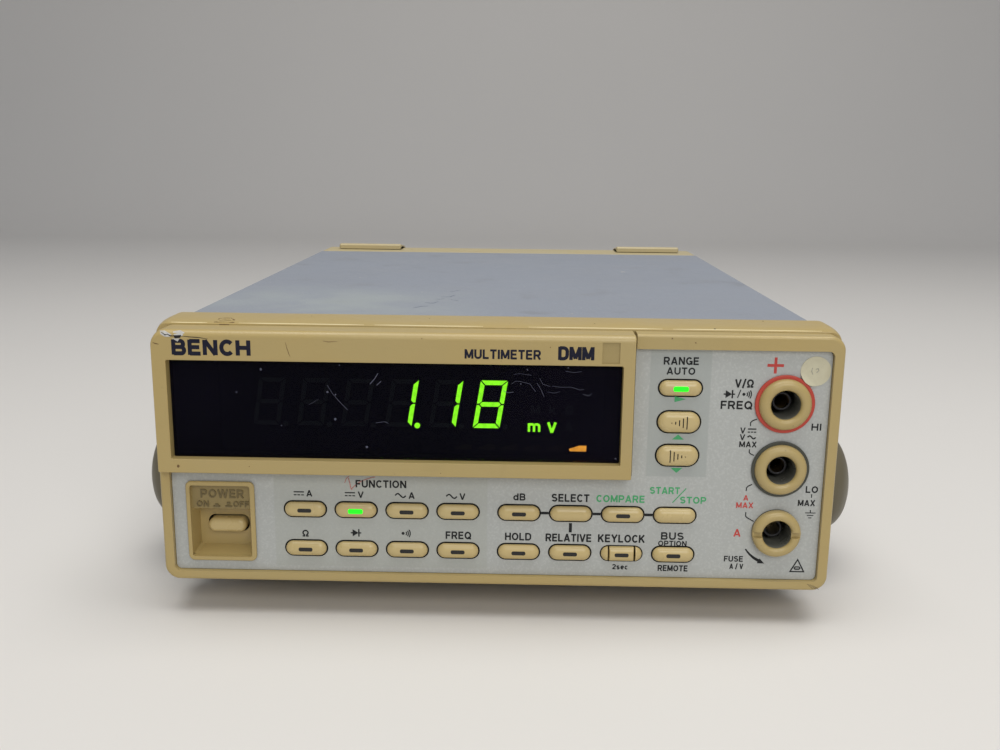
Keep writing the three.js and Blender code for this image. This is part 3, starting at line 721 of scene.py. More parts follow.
def legends():
    dark, green, red, brand = (bmesh.new() for _ in range(4))
    for bm, rows in ((dark, DARK_WORDS), (green, GREEN_WORDS), (red, RED_WORDS)):
        for row in rows:
            letters(bm, *row)
    for mark, places in (
        (direct_mark, ((-57.2, 24.0), (-42.25, 24.0), (73.0, 45.1, 2.4))),
        (wave_mark, ((-27.5, 23.85), (-12.6, 23.85), (73.0, 43.1, 2.3, 0.8))),
        (diode_mark, ((-40.7, 12.1, 2.4), (65.95, 55.65, 2.5))), (sound_mark, ((-25.7, 12.2), (71.2, 55.65))),
    ):
        for place in places:
            mark(dark, *place)
    stroke(dark, [(68.3, 54.6), (69.1, 56.95)], 0.28)
    # Brackets from the limits to the sockets.
    stroke(dark, [(72.45, 46.4), (72.45, 47.45), (73.0, 48.0), (74.2, 48.5)], 0.3)
    stroke(dark, [(72.6, 39.55), (72.6, 38.6), (73.0, 38.2), (74.0, 37.75)], 0.3)
    stroke(dark, [(72.45, 27.05), (72.5, 28.0), (73.0, 28.55), (74.05, 29.05)], 0.3)
    stroke(dark, [(72.75, 20.6), (72.75, 19.4), (73.1, 19.0), (75.2, 17.8)], 0.3)
    stroke(dark, [(91.3, 26.4), (91.3, 25.3)], 0.28)
    # Earth mark under the LO socket.
    stroke(dark, [(91.3, 21.6), (91.3, 20.7)], 0.28)
    for half, z in ((1.5, 20.7), (0.95, 19.95), (0.45, 19.2)):
        bar(dark, 91.3 - half, 91.3 + half, z - 0.12, z + 0.12)
    # The turning arrow beside the fuse cap.
    sweep = arc(*centre("fuse_cap"), 9.9, 213, 244, 14)
    for i in range(14):
        stroke(dark, sweep[i:i + 2], 0.42 + 0.035 * i)
    tip = Vector(sweep[-1])
    along = (tip - Vector(sweep[-2])).normalized()
    side = Vector((-along.y, along.x))
    polygon(dark, [tuple(tip + side * -0.95), tuple(tip + along * 2.0), tuple(tip + side * 0.75)])
    # A fuse in a three-sided frame.
    stroke(dark, [(86.75, 2.5), (90.75, 2.5), (88.75, 6.25)], 0.36, closed=True)
    stroke(dark, pill(88.75, 3.6, 1.6, 0.8, 8), 0.3, closed=True)
    bar(dark, 87.6, 89.9, 3.53, 3.67)
    stroke(green, [(51.45, 23.1), (55.2, 27.5)], 0.28)
    for points in ([(50.6, 53.1), (53.8, 53.95), (50.6, 54.8)], [(50.4, 42.1), (53.8, 42.1), (52.1, 43.6)],
                   [(50.4, 33.65), (52.1, 32.15), (53.8, 33.65)]):
        polygon(green, points)
    stroke(red, [(78.4, 61.8), (78.4, 66.4)], 0.8)
    bar(red, 76.1, 80.7, 63.7, 64.5, y0=-0.045)
    # Dashes that join the keys of the compare group.
    centres = [key_centre(k) for k in ("key_decibel", "key_select", "key_compare", "key_start_stop")]
    for (x0, z0, w0, _), (x1, _, _, _) in zip(centres, centres[1:]):
        half = w0 / 2 + 0.42
        bar(dark, x0 + half, x1 - half, z0 - 0.4, z0 + 0.4)
    x, z, _, h = centres[1]
    bar(dark, x - 0.45, x + 0.45, z - h / 2 - 3.6, z - h / 2 - 0.75)
    # Words on the display bezel.
    face = BEZEL["front"]
    for row in (("BENCH", -79.25, 67.85, 4.3, 21.8, 0.27), ("MULTIMETER", 1.9, 67.1, 2.65, 21.0, 0.22),
                ("DMM", 22.2, 67.65, 3.7, 9.6, 0.26)):
        letters(brand, *row, face - 0.03, face + 0.03)
    for name, bm, look, slot in (
        ("legends_dark", dark, ink_dark, "legend_ink"), ("legends_green", green, ink_green, "legend_green"),
        ("legends_red", red, ink_red, "legend_red"), ("bezel_words", brand, ink_navy, "legend_ink"),
    ):
        piece(name, bm, "case", look, slot)


# ---- front mouldings

BEZEL = dict(left=-96.3, right=38.7, bottom=31.2, top=72.7, front=-4.92, back=4.2, corner=4.0, lip=1.9)
OPENING = dict(left=-92.25, right=35.4, bottom=35.35, top=64.1, depth=2.8)
RIM = dict(inner_x=94.35, inner_bottom=-0.1, inner_top=68.5, corner=4.2, inner_corner=1.6, lip=0.9)
# The panel and its rim stop short of the display bezel by this much.
NOTCH_X, NOTCH_Z = BEZEL["right"] + 0.6, BEZEL["bottom"] - 0.3
# [drop, y] along the front frame's upper face, from its back to its front.
FRAME_TOP = ((0, 19.5), (0, 12), (0.12, 9), (0.4, 6.5), (0.8, 4.75), (0.92, 4.55), (1.1, 4.5))
FRAME_CORNER = 4.2


def front_frame():
    lo, hi = span("front_frame")
    outer = rounded(lo.x, hi.x, lo.z, hi.z, FRAME_CORNER, 14)
    hole = rounded(lo.x + 5, hi.x - 5, lo.z + 5, hi.z - 5, 2, 6)
    steps = [(0.2, hi.y), (0, hi.y - 0.2), *FRAME_TOP[1:]]
    bm = solid(outer, steps, [hole], edge(hi.y, lo.y, 0.2, 0.2, 2))
    piece("front_frame_moulding", bm, "case", tan, "tan_plastic", "front_frame")


def panel_surround():
    lo, hi = span("panel_surround")
    r, q, lip = RIM["corner"], RIM["inner_corner"], RIM["lip"]

    def path(out, into):
        """The rim's outline with its outer side moved in by `out` and its inner side back by `into`."""
        a, c, d = lo.x + out, hi.x - out, hi.z - out
        x, low, high = RIM["inner_x"] + into, RIM["inner_bottom"] - into, RIM["inner_top"] + into
        points = [(a, NOTCH_Z)] + arc(a + r, lo.z + out + r, r, 180, 270, 12)
        points += arc(c - r, lo.z + out + r, r, 270, 360, 12) + arc(c - r, d - r, r, 0, 90, 12)
        points += [(NOTCH_X, d), (NOTCH_X, high)]
        points += arc(x - q, high - q, q, 90, 0, 5) + arc(x - q, low + q, q, 0, -90, 5)
        return points + arc(-x + q, low + q, q, 270, 180, 5) + [(-x, NOTCH_Z)]

    rings = [(hi.y, path(0.2, 0)), (hi.y - 0.2, path(0, 0))]
    for k, a in enumerate(quarter(6)):
        rings.append((lo.y + lip * (1 - math.sin(a)), path(lip * (1 - math.cos(a)), 0.12 if k == 6 else 0)))
    piece("panel_rim", lofted(rings), "case", tan, "tan_plastic", "panel_surround")


def display_bezel():
    b, o = BEZEL, OPENING
    front, lip = b["front"], b["lip"]

    def outline(top, side):
        r = b["corner"]
        return rounded(b["left"] + side, b["right"] - side, b["bottom"] + side, b["top"] - top,
                       [0.5, 0.5, 0.5, max(r - (top + side) / 2, 1)], 12)

    rings = [(b["back"], outline(0, 0))]
    for k, a in enumerate(quarter(7)):
        # The sides only turn in over the last steps.
        side = 0.3 * max(0.0, (k - 4) / 3) ** 2
        rings.append((front + lip * (1 - math.sin(a)), outline(lip * (1 - math.cos(a)), side)))
    hole = [(y, rounded(o["left"] - d, o["right"] + d, o["bottom"] - d, o["top"] + d, 0.5, 4))
            for d, y in ((0, b["back"]), (0, front + o["depth"]), (0.04, front + 0.12), (0.12, front))]
    left, right, sunk = 29.4, 34.3, 0.35
    recess = solid(rounded(left, right, o["top"] + 0.7, b["top"] - 1.9, 0), [(0, front + sunk), (0, front - 1)])

    # The floor of the small recess above the window takes a darker tan as painted shade.
    def dressing(c, n):
        in_recess = left - 0.1 < c.x < right + 0.1 and c.z > o["top"] + 0.5
        return 1 if in_recess and front + 0.1 < c.y < front + sunk + 0.25 else 0

    piece("display_bezel_moulding", boolean(lofted(rings, [hole]), [recess]), "case", [tan, tan_shade],
          "tan_plastic", "display_bezel", parts=dressing)


def display():
    o, gap = OPENING, 0.05
    inside_opening = o["left"] + gap, o["right"] - gap, o["bottom"] + gap, o["top"] - gap
    sheet = solid(rounded(*inside_opening, 0.4, 4), edge(-1.0, span("display_window")[0].y, 0.1, 0.1, 2))
    piece("smoked_window", sheet, "case", window, "window", "display_window")
    face = span("display_tube")[0].y - 0.02
    hole = rounded(-79, 31, 36.6, 62.7, 1, 4)
    mask = solid(rounded(*inside_opening, 0.3, 3), edge(face - 0.3, face - 0.8, 0.1, 0.1, 2), [hole])
    piece("display_mask_plate", mask, "case", black_and_gap_shade, "black_plastic")
    digits(face)


DIGIT_WIDTH, DIGIT_HEIGHT, SEGMENT_WIDTH, SEGMENT_GAP = 7.7, 13.97, 1.28, 0.24
DIGIT_PITCH, FIRST_DIGIT, DIGIT_FOOT = 12.67, -6.63, 44.3
SLANT = 2.3 / DIGIT_HEIGHT


def segment_shapes(x, z):
    """The seven segments of a slanted digit whose lower left corner is at (x, z)."""
    w, h, t, g = DIGIT_WIDTH, DIGIT_HEIGHT, SEGMENT_WIDTH, SEGMENT_GAP
    half, k = h / 2, t / 2
    shapes = {
        "a": [(g, h), (t + g, h - t), (w - t - g, h - t), (w - g, h)][::-1],
        "d": [(g, 0), (w - g, 0), (w - t - g, t), (t + g, t)],
        "g": [(k + g, half), (t + g, half - k), (w - t - g, half - k), (w - k - g, half),
              (w - t - g, half + k), (t + g, half + k)],
        "f": [(0, h - g), (0, half + g), (k, half + g), (t, half + k + g), (t, h - t - g)],
        "e": [(0, half - g), (0, g), (t, t + g), (t, half - k - g), (k, half - g)],
        "b": [(w - t, h - t - g), (w - t, half + k + g), (w - k, half + g), (w, half + g), (w, h - g)],
        "c": [(w, half - g), (w - k, half - g), (w - t, half - k - g), (w - t, t + g), (w, g)],
    }
    return {name: [(x + px + pz * SLANT, z + pz) for px, pz in points] for name, points in shapes.items()}


def digits(face):
    """The reading 1.18 with its units, and the unlit segments round it."""
    lit, unlit, orange, unlit_bars = (bmesh.new() for _ in range(4))
    front, back = face - 0.12, face + 0.1
    shown = {0: "abcdefg", 1: "bc", 2: "bc"}
    for i in range(6):
        x = FIRST_DIGIT - i * DIGIT_PITCH
        for name, shape in segment_shapes(x, DIGIT_FOOT).items():
            polygon(lit if name in shown.get(i, "") else unlit, shape, front, back)
        point = circle(x + 9.4, DIGIT_FOOT + 0.4, 0.82, 20)
        polygon(lit if i == 2 else unlit, point, front, back)
    letters(lit, "m", 11.0, 45.05, 3.3, 3.5, y0=front, y1=back)
    letters(lit, "V", 16.1, 44.75, 3.0, weight=0.25, y0=front, y1=back)
    for letter, x, z in (("M", 11.3, 50.0), ("k", 16.2, 50.0), ("Ω", 21.0, 50.0), ("A", 21.0, 45.0)):
        letters(unlit, letter, x, z, 2.6, y0=front, y1=back)
    for i in range(6):
        x = 21.2 - i * 6.6
        shape = [(x, 38.05), (x + 0.3, 37.75), (x + 4.9, 37.75), (x + 5.0, 39.45), (x + 2.9, 39.45),
                 (x, 38.45)]
        polygon(unlit_bars if i else orange, shape, front, back)
    piece("lit_segments", lit, "case", lit_segment, "segments_green")
    piece("unlit_segments", unlit, "case", ghost, "display_glass")
    piece("lit_bar", orange, "case", lit_bar, "segments_orange")
    piece("unlit_bars", unlit_bars, "case", ghost_bar, "display_glass")


KEYS = [k for k in frame["bodies"] if k.startswith("key_")]
LAMPLESS = {"key_select", "key_start_stop", "key_range_up", "key_range_down"}
LIT = {"key_dc_volts", "key_auto_range"}
KEY_HOLE_GROWTH = 0.84


def key_centre(name):
    """The middle, width and height of a key's cap, which its CAD node's flange passes by 0.7 mm all round."""
    lo, hi = span(name)
    return *centre(name), hi.x - lo.x - 1.4, hi.z - lo.z - 1.4


def control_panel():
    lo, hi = span("control_panel")
    holes = []
    for k in KEYS:
        if k != "key_lock":
            x, z, w, h = key_centre(k)
            holes.append(pill(x, z, w + KEY_HOLE_GROWTH, h + KEY_HOLE_GROWTH))
    guard_lo, guard_hi = span("lock_key_guard")
    holes.append(pill(*centre("lock_key_guard"), guard_hi.x - guard_lo.x - 1.4, 5.0))
    lo_e, hi_e = span("power_escutcheon")
    holes.append(rounded(lo_e.x + 0.25, hi_e.x - 0.25, lo_e.z + 0.25, hi_e.z - 0.25, 1.2))
    for s in ("socket_hi", "socket_lo", "fuse_cap"):
        holes.append(circle(*centre(s), 6.9))
    r = 1.5
    outer = arc(lo.x + r, lo.z + r, r, 180, 270, 6) + arc(hi.x - r, lo.z + r, r, 270, 360, 6)
    outer += arc(hi.x - r, hi.z - r, r, 0, 90, 6) + [(NOTCH_X, hi.z), (NOTCH_X, NOTCH_Z), (lo.x, NOTCH_Z)]
    bm = solid(outer, edge(hi.y, lo.y, 0.08, 0, 2), holes, edge(hi.y, lo.y, 0.06, 0, 1))
    # The faces behind the plate's front, the walls of its holes among them, are painted black as shade in the gaps.
    piece("panel_plate", bm, "case", [panel_paint, black_and_gap_shade], "panel_paint", "control_panel",
          parts=lambda c, n: 1 if c.y > 0.1 and -94 < c.x < 94 and 0.2 < c.z < 68 else 0)


# ---- keys

# A key cap's side as [inset, y] steps, from its foot to the top of its dome.
CAP_STEPS = [(0, 2.2), (0, 0.02), (0, 0), (0, -0.15), (0.06, -0.42), (0.2, -0.72), (0.45, -1.0),
             (0.8, -1.24), (1.2, -1.42), (1.6, -1.52), (1.9, -1.56)]
ENGRAVED_TO = -1.25
# Everything behind this y is in the panel's holes and is painted black as shade in the gap round the cap.
HIDDEN_FROM = 0.05


def keyed(x, z, lo, hi, cap_mesh, flange_steps, flange_corner, stem_from):
    """A cap with the flange that keeps it behind the panel and the stem that works its switch."""
    flange = solid(rounded(lo.x, hi.x, lo.z, hi.z, flange_corner, 3), flange_steps)
    stem = solid(rounded(x - 1.5, x + 1.5, z - 1.2, z + 1.2, 0.2, 2), [(0, hi.y), (0, stem_from)])
    return boolean(cap_mesh, [flange, stem], "UNION")


def key_cap(name):
    x, z, w, h = key_centre(name)
    lo, hi = span(name)
    bm = keyed(x, z, lo, hi, solid(pill(x, z, w, h), CAP_STEPS), edge(hi.y - 4.1, 1.95, 0, 0), 0.6, 2.3)
    if name in ("key_range_up", "key_range_down"):
        engraved = bmesh.new()
        sign = 1 if name == "key_range_up" else -1
        for i, height in enumerate((0.36, 0.95, 1.85, 2.9, 3.8)):
            solid(pill_upright(x + sign * (i - 2) * 1.08, z, 0.34, height), [(0, 0), (0, -3)], bm=engraved)
        floor_block = solid(rounded(x - 5, x + 5, z - 3, z + 3, 0.2, 2), [(0, 0), (0, ENGRAVED_TO)])
        bm = boolean(bm, [boolean(engraved, [floor_block])])

    # Faces behind HIDDEN_FROM are painted black as shade; the floors of the range keys' engraving take the dark LED
    # plastic.
    def dressing(c, n):
        if c.y > HIDDEN_FROM:
            return 2
        return 1 if name.startswith("key_range_") and abs(c.y - ENGRAVED_TO) < 0.01 and n.y < -0.9 else 0

    piece(name + "_cap", bm, name, [key_tan, lamp_off, black_and_gap_shade], "key_plastic", name, parts=dressing)
    if name not in LAMPLESS:
        lamp(name, x, z)


def pill_upright(x, z, w, h):
    r = w / 2
    return arc(x, z + h / 2 - r, r, 0, 180, 5) + arc(x, z - h / 2 + r, r, 180, 360, 5)


def lamp(key, x, z):
    look, slot, wide, tall = (lamp_green, "led_green", 4.3, 1.45) if key in LIT else (lamp_off, "led_off", 4.1, 1.2)
    bm = solid(centred(x, z, wide, tall, 0.5, 5), edge(-0.6, -1.6, 0.05, 0, 2))
    piece(key.replace("key_", "lamp_"), bm, key, look, slot)


def lock_key():
    """The lock key, cut square, between two lugs that complete the shape of the other keys."""
    lo, hi = span("key_lock")
    x, z = centre("key_lock")
    w, h = hi.x - lo.x - 2, hi.z - lo.z - 1.6
    rings = []
    for d, y in CAP_STEPS:
        across, up = w / 2 - d * 0.85 * 0.25, h / 2 - d * 0.85
        rings.append((y + (1 if y > 2 else 0), rounded(x - across, x + across, z - up, z + up, 0.3, 3)))
    bm = keyed(x, z, lo, hi, lofted(rings), [(0, 4), (0, 3.2)], 0.5, 3.6)
    # Faces behind HIDDEN_FROM are painted black as shade in the gaps.
    painted_behind = dict(parts=lambda c, n: 1 if c.y > HIDDEN_FROM else 0)
    piece("key_lock_cap", bm, "key_lock", [key_tan, black_and_gap_shade], "key_plastic", "key_lock", **painted_behind)
    lamp("key_lock", x, z)
    lo, hi = span("lock_key_guard")
    lugs = solid(pill(*centre("lock_key_guard"), hi.x - lo.x - 2, 4.4), CAP_STEPS)
    bridge_plate = solid(rounded(lo.x, hi.x, lo.z, hi.z, 0.5, 3), [(0, 2.8), (0, 1.8)])
    gate = solid(centred(x, z, w + 0.8, h + 0.8, 0.3, 3), [(0, 6), (0, -6)])
    bm = boolean(boolean(lugs, [bridge_plate], "UNION"), [gate])
    piece("lock_key_lugs", bm, "case", [key_tan, black_and_gap_shade], "key_plastic", "lock_key_guard", **painted_behind)


# ---- power control


def power_control():
    lo, hi = span("power_escutcheon")
    x, z = centre("power_escutcheon")
    face, floor_y = 0.6, 6
    rim = solid(rounded(lo.x, hi.x, lo.z, hi.z, 1.7), edge(-0.3, lo.y, 0.35, 0, 4))
    body = solid(rounded(lo.x + 0.55, hi.x - 0.55, lo.z + 0.55, hi.z - 0.55, 1), [(0, hi.y), (0, -0.5)])
    bm = boolean(rim, [body], "UNION")
    left, right, bottom = x - 8.85, x + 8.75, z - 10.95
    well = solid(rounded(left, right, bottom, z + 10.95, 0.7, 6), [(0, face), (0, -3)])
    # The pocket narrows from its mouth to its floor.
    pocket = lofted([(floor_y, rounded(x - 8.3, x + 6.6, z - 9.6, z + 1.6, 1.2, 5)),
                     (0.5, rounded(left, right, bottom, z + 3.6, 0.8, 5))])
    b_lo, b_hi = span("power_button")
    bx, bz = centre("power_button")
    slot = solid(rounded(b_lo.x - 0.45, b_hi.x + 0.45, b_lo.z - 0.4, b_hi.z + 0.5, 2.2),
                 [(0, hi.y + 2), (0, floor_y - 1)])
    bm = boolean(bm, [well, pocket, slot])

    # The slot's walls behind the pocket floor, round the knob, are painted black as shade, and the sunken plate
    # above the pocket takes the darker tan as painted shade.
    def dressing(c, n):
        if c.y > floor_y + 0.1 and abs(c.x - bx) < 7 and abs(c.z - bz) < 3:
            return 2
        return 1 if abs(c.y - face) < 0.05 and n.y < -0.9 else 0

    piece("power_surround", bm, "case", [tan, plate_shade_tan, black_and_gap_shade], "tan_plastic", "power_escutcheon",
          parts=dressing)
    # The raised letters and marks take a darker tan that is painted shade.
    words = bmesh.new()
    raised = face - 0.3, face + 0.05
    letters(words, "POWER", x + 0.25, z + 8.1, 2.6, 12.7, 0.16, *raised)
    letters(words, "ON", x - 5.6, z + 4.95, 1.8, 3.6, 0.17, *raised)
    letters(words, "OFF", x + 5.7, z + 4.95, 1.8, 4.6, 0.17, *raised)
    # The marks for pressed in and out, as middle and size from the surround's middle.
    for sx, sw, sz, sh in ((-1.45, 1.9, 4.25, 0.4), (2.05, 1.9, 4.25, 0.4), (2.05, 0.9, 5.2, 0.7),
                           (-1.45, 0.9, 4.7, 0.5)):
        bar(words, x + sx - sw / 2, x + sx + sw / 2, z + sz - sh / 2, z + sz + sh / 2, *raised)
    piece("power_marks", words, "case", shaded_letter_tan, "tan_plastic")
    knob = solid(rounded(b_lo.x, b_hi.x, b_lo.z, b_hi.z, 2.1, 10), edge(13.4, b_lo.y, 1.3, 0.3, 8))
    stem = solid(rounded(bx - 2, bx + 2, bz - 1.3, bz + 1.3, 0.2), [(0, b_hi.y), (0, 12)])
    knob = boolean(knob, [stem], "UNION")
    piece("power_knob", knob, "power_button", key_tan, "key_plastic", "power_button")


# ---- sockets


SOCKET_BORE, CONTACT_BORE, CONTACT_RADIUS = 4.2, 2.05, 2.8


def in_bore(x, z, r, start):
    """1 on the faces of a bore past its start, 0 elsewhere."""
    return lambda c, n: 1 if math.hypot(c.x - x, c.z - z) < r and c.y > start else 0


def sockets():
    bore = SOCKET_BORE
    for side, look, slot in (("hi", red_ring, "red_plastic"), ("lo", dark_ring, "dark_plastic")):
        lo, hi = span(f"socket_{side}")
        x, z = centre(f"socket_{side}")
        profile = fillet(
            [(bore, hi.y), (bore, lo.y), (7.4, lo.y), (7.4, -0.95), (6.6, -0.95), (6.6, hi.y)],
            [0, 1.2, 1.9, 0.12, 0, 0], 10)
        bm = turned(profile, x, z, 72, closed=True)
        piece(f"socket_{side}_body", bm, "case", [tan, liner], "tan_plastic", f"socket_{side}",
              parts=in_bore(x, z, bore + 0.15, lo.y + 1.15))
        r_lo, r_hi = span(f"colour_ring_{side}")
        radius = (r_hi.x - r_lo.x) / 2
        profile = fillet([(6.9, -0.15), (6.9, -0.8), (radius, -0.8), (radius, -0.15)], [0, 0.1, 0.25, 0], 4)
        piece(f"ring_{side}", turned(profile, x, z, 72, closed=True), "case", look, slot, f"colour_ring_{side}")
        contact_tube(f"contact_{side}", x, z)


def contact_tube(node, x, z):
    lo, hi = span(node)
    bore, r, flange = CONTACT_BORE, CONTACT_RADIUS, 3.9
    profile = fillet(
        [(bore, hi.y), (bore, lo.y), (r, lo.y), (r, 18), (flange, 18), (flange, 19.5), (r, 19.5), (r, hi.y)],
        [0, 0.25, 0.3, 0, 0, 0, 0, 0], 4)
    bm = turned(profile, x, z, 40, closed=True)
    piece(node + "_sleeve", bm, "case", [black, brass], "black_plastic", node, parts=in_bore(x, z, bore + 0.1, 5))


def fuse_holder():
    lo, hi = span("fuse_cap")
    x, z = centre("fuse_cap")
    rim, bore = (hi.x - lo.x) / 2, SOCKET_BORE
    profile = fillet(
        [(bore, hi.y), (bore, lo.y), (rim, lo.y), (rim, -0.3), (5.6, -0.3), (5.6, hi.y)],
        [0, 1.05, 1.6, 0.15, 0, 0], 10)
    bm = turned(profile, x, z, 72, closed=True)
    coin_slot = solid(rounded(x - 12, x + 12, z - 0.95, z + 0.95, 0.2, 2), [(0, lo.y + 1.4), (0, lo.y - 3)])
    piece("fuse_cap_moulding", boolean(bm, [coin_slot]), "fuse_cap", [tan, liner], "tan_plastic", "fuse_cap",
          parts=in_bore(x, z, bore + 0.15, lo.y + 1))
    f_lo, f_hi = span("range_fuse")
    bore, r, body = CONTACT_BORE, CONTACT_RADIUS, 3.2
    profile = fillet(
        [(0, f_hi.y), (0, 9.6), (bore, 9.6), (bore, f_lo.y), (r, f_lo.y), (r, 9.4), (body, 9.4), (body, f_hi.y)],
        [0, 0, 0, 0.25, 0.3, 0, 0.2, 0.3], 4)
    bm = turned(profile, x, z, 40)
    piece("range_fuse_body", bm, "range_fuse", [brass, black, liner], "contact_brass", "range_fuse",
          parts=lambda c, n: 1 if c.y < 9.3 else (2 if 16 < c.y < 38 else 0))


# ---- covers


def covers():
    lo, hi = span("top_cover")
    t, bend = 1.2, 2.5
    left, right, up = lo.x + bend, hi.x - bend, hi.z - bend
    outer = [(hi.x, lo.z)] + arc(right, up, bend, 0, 90, 10) + arc(left, up, bend, 90, 180, 10) + [(lo.x, lo.z)]
    inner = [(lo.x + t, lo.z)] + arc(left, up, bend - t, 180, 90, 8)
    inner += arc(right, up, bend - t, 90, 0, 8) + [(hi.x - t, lo.z)]
    bm = solid(outer + inner, edge(hi.y, lo.y, 0.15, 0.15, 2))
    piece("cover_sheet", bm, "case", cover_paint, "cover_paint", "top_cover")
    for node in ("bottom_cover", "rear_panel"):
        dress(node, cover_paint)


def dress(node, look):
    """Gives a CAD node that is kept a material of its own."""
    ob = frame["nodes"][node]
    ob.data.materials.clear()
    ob.data.materials.append(look)


# ---- rear, feet and handle


# Swaps X and Y, for a shape drawn in Y and Z and swept along X.
SWAP_X_Y = Matrix(((0, 1, 0, 0), (1, 0, 0, 0), (0, 0, 1, 0), (0, 0, 0, 1)))
# Lays an axis along Y down along X.
TURN_TO_X = Matrix.Rotation(-math.pi / 2, 4, "Z")


def rear_foot(level, side):
    """A foot that wraps a rear corner: over the cover's end and down the rear frame's back."""
    node = f"rear_foot_{level}_{side}"
    lo, hi = span(node)
    f_lo, f_hi = span("rear_frame")
    under, behind, reach = f_hi.z + 0.3, f_hi.y + 0.3, 15
    middle = (f_lo.z + f_hi.z) / 2
    top = hi.z if level == "upper" else 2 * middle - lo.z
    profile = fillet(
        [(lo.y, under), (behind, under), (behind, f_hi.z - reach), (hi.y - 1.5, f_hi.z - reach + 1),
         (hi.y, f_hi.z - reach + 3.5), (hi.y, f_hi.z - 4), (hi.y - 2.5, f_hi.z + 0.2), (lo.y + 2, top),
         (lo.y + 0.7, top), (lo.y, top - 0.7)],
        [0.1, 0.1, 0.15, 0.8, 1.2, 2.2, 2.2, 0.4, 0.4, 0.3], 5)
    bm = solid(profile, edge(hi.x, lo.x, 0.9, 0.9, 5))
    bm.transform(SWAP_X_Y)
    if level == "lower":
        bm.transform(Matrix.Translation((0, 0, 2 * middle)) @ Matrix.Scale(-1, 4, Vector((0, 0, 1))))
    piece(node + "_moulding", bm, "case", tan_pale, "tan_plastic", node)


def rear():
    lo, hi = span("rear_frame")
    outer = rounded(lo.x, hi.x, lo.z, hi.z, 3.5, 12)
    hole = rounded(lo.x + 6.5, hi.x - 6.5, lo.z + 6.5, hi.z - 6.5, 2, 6)
    bm = solid(outer, edge(hi.y, lo.y, 0.5, 1.0), [hole], edge(hi.y, lo.y, 0.3, 0.6, 3))
    piece("rear_frame_moulding", bm, "case", tan_pale, "tan_plastic", "rear_frame")
    for level in ("upper", "lower"):
        for side in ("left", "right"):
            rear_foot(level, side)
    dress("mains_inlet", black)
    dress("mains_fuse_drawer", black)
    for i, (x, z) in enumerate([(-16, 27.5), (-16, 44.5), (60, 27.5), (60, 44.5)]):
        screw(f"option_screw_{i + 1}", x, z, span("rear_panel")[1].y, 2.6)
    lo, hi = span("mains_inlet")
    for i, x in enumerate((lo.x + 2.2, hi.x - 2.2)):
        screw(f"inlet_screw_{i + 1}", x, centre("mains_inlet")[1], hi.y - 0.1, 1.7)


def screw(name, x, z, y, r):
    """A pan head with a cross slot, facing backwards, on a surface at y."""
    profile = fillet([(0, y + 0.9), (r, y + 0.55), (r, y - 0.3), (0, y - 0.3)], [0, 0.4, 0, 0], 4)
    long, short = r * 1.1, r * 0.26
    cuts = [solid(centred(x, z, w, h, 0.1, 2), [(0, y + 2), (0, y + 0.35)])
            for w, h in ((long, short), (short, long))]
    piece(name, boolean(turned(profile, x, z, 28), cuts), "case", screw_steel, "screw_steel")


HUB_RADIUS, BOSS_RADIUS, GRIP = 17.1, 16.1, (7.5, 4.5)
ARM_ROOT, ARM_TIP, ARM_OUTSIDE, BUSH_END = 9.5, 4.5, 106.3, 106


def handle():
    b_lo, b_hi = span("pivot_boss_right")
    a_lo, a_hi = span("handle_arm_right")
    g_lo, g_hi = span("handle_grip")
    pivot = Vector((0, (b_lo.y + b_hi.y) / 2, (b_lo.z + b_hi.z) / 2))
    away = Vector((0, (g_lo.y + g_hi.y) / 2, (g_lo.z + g_hi.z) / 2)) - pivot
    length = math.hypot(away.z, away.y)
    place = Matrix.Translation(pivot) @ Matrix.Rotation(math.atan2(away.z, away.y), 4, "X")
    inner, outer, hub = a_lo.x, a_hi.x, HUB_RADIUS
    dome_profile = fillet(
        [(0, inner), (hub, inner), (hub, 105.5), (hub - 0.6, 108.9), (hub - 2, 111.4), (hub - 4.3, 113.4),
         (hub - 7.5, 114.8), (hub - 11.5, 115.7), (0, outer)],
        [0, 0.5, 6, 6, 7, 8, 9, 10, 0], 5)
    boss_profile = fillet(
        [(0, b_lo.x), (BOSS_RADIUS, b_lo.x), (BOSS_RADIUS, 98.3), (BOSS_RADIUS - 0.7, inner - 0.3),
         (6, inner - 0.3), (6, BUSH_END), (0, BUSH_END)],
        [0, 0.3, 0.4, 0, 0.3, 0.4, 0], 3)
    lean = math.degrees(math.asin((ARM_ROOT - ARM_TIP) / length))
    shape = arc(0, 0, ARM_ROOT, 90 - lean, 270 + lean, 24) + arc(length, 0, ARM_TIP, -90 + lean, 90 - lean, 14)
    for side, sign in (("right", 1), ("left", -1)):
        mirror = Matrix.Scale(sign, 4, Vector((1, 0, 0)))
        dome = turned(dome_profile, 0, 0, 96)
        dome.transform(TURN_TO_X)
        shaft = solid(shape, edge(ARM_OUTSIDE, inner, 1.2, 1.2, 4))
        shaft.transform(SWAP_X_Y)
        eye = turned([(0, 90), (6.3, 90), (6.3, BUSH_END + 0.6), (0, BUSH_END + 0.6)], 0, 0, 48)
        eye.transform(TURN_TO_X)
        arm = boolean(boolean(dome, [shaft], "UNION"), [eye])
        arm.transform(mirror @ place)
        piece(f"arm_{side}_moulding", arm, "handle", taupe, "handle_plastic", f"handle_arm_{side}")
        boss = turned(boss_profile, 0, 0, 72)
        boss.transform(mirror @ Matrix.Translation(pivot) @ TURN_TO_X)
        piece(f"boss_{side}_moulding", boss, "case", taupe, "handle_plastic", f"pivot_boss_{side}")
    section = [(length + GRIP[0] * math.cos(a), GRIP[1] * math.sin(a)) for a in around(48)]
    grip = solid(section, edge(g_hi.x, g_lo.x, 0.5, 0.5, 3))
    grip.transform(place @ SWAP_X_Y)
    piece("grip_bar", grip, "handle", taupe, "handle_plastic", "handle_grip")
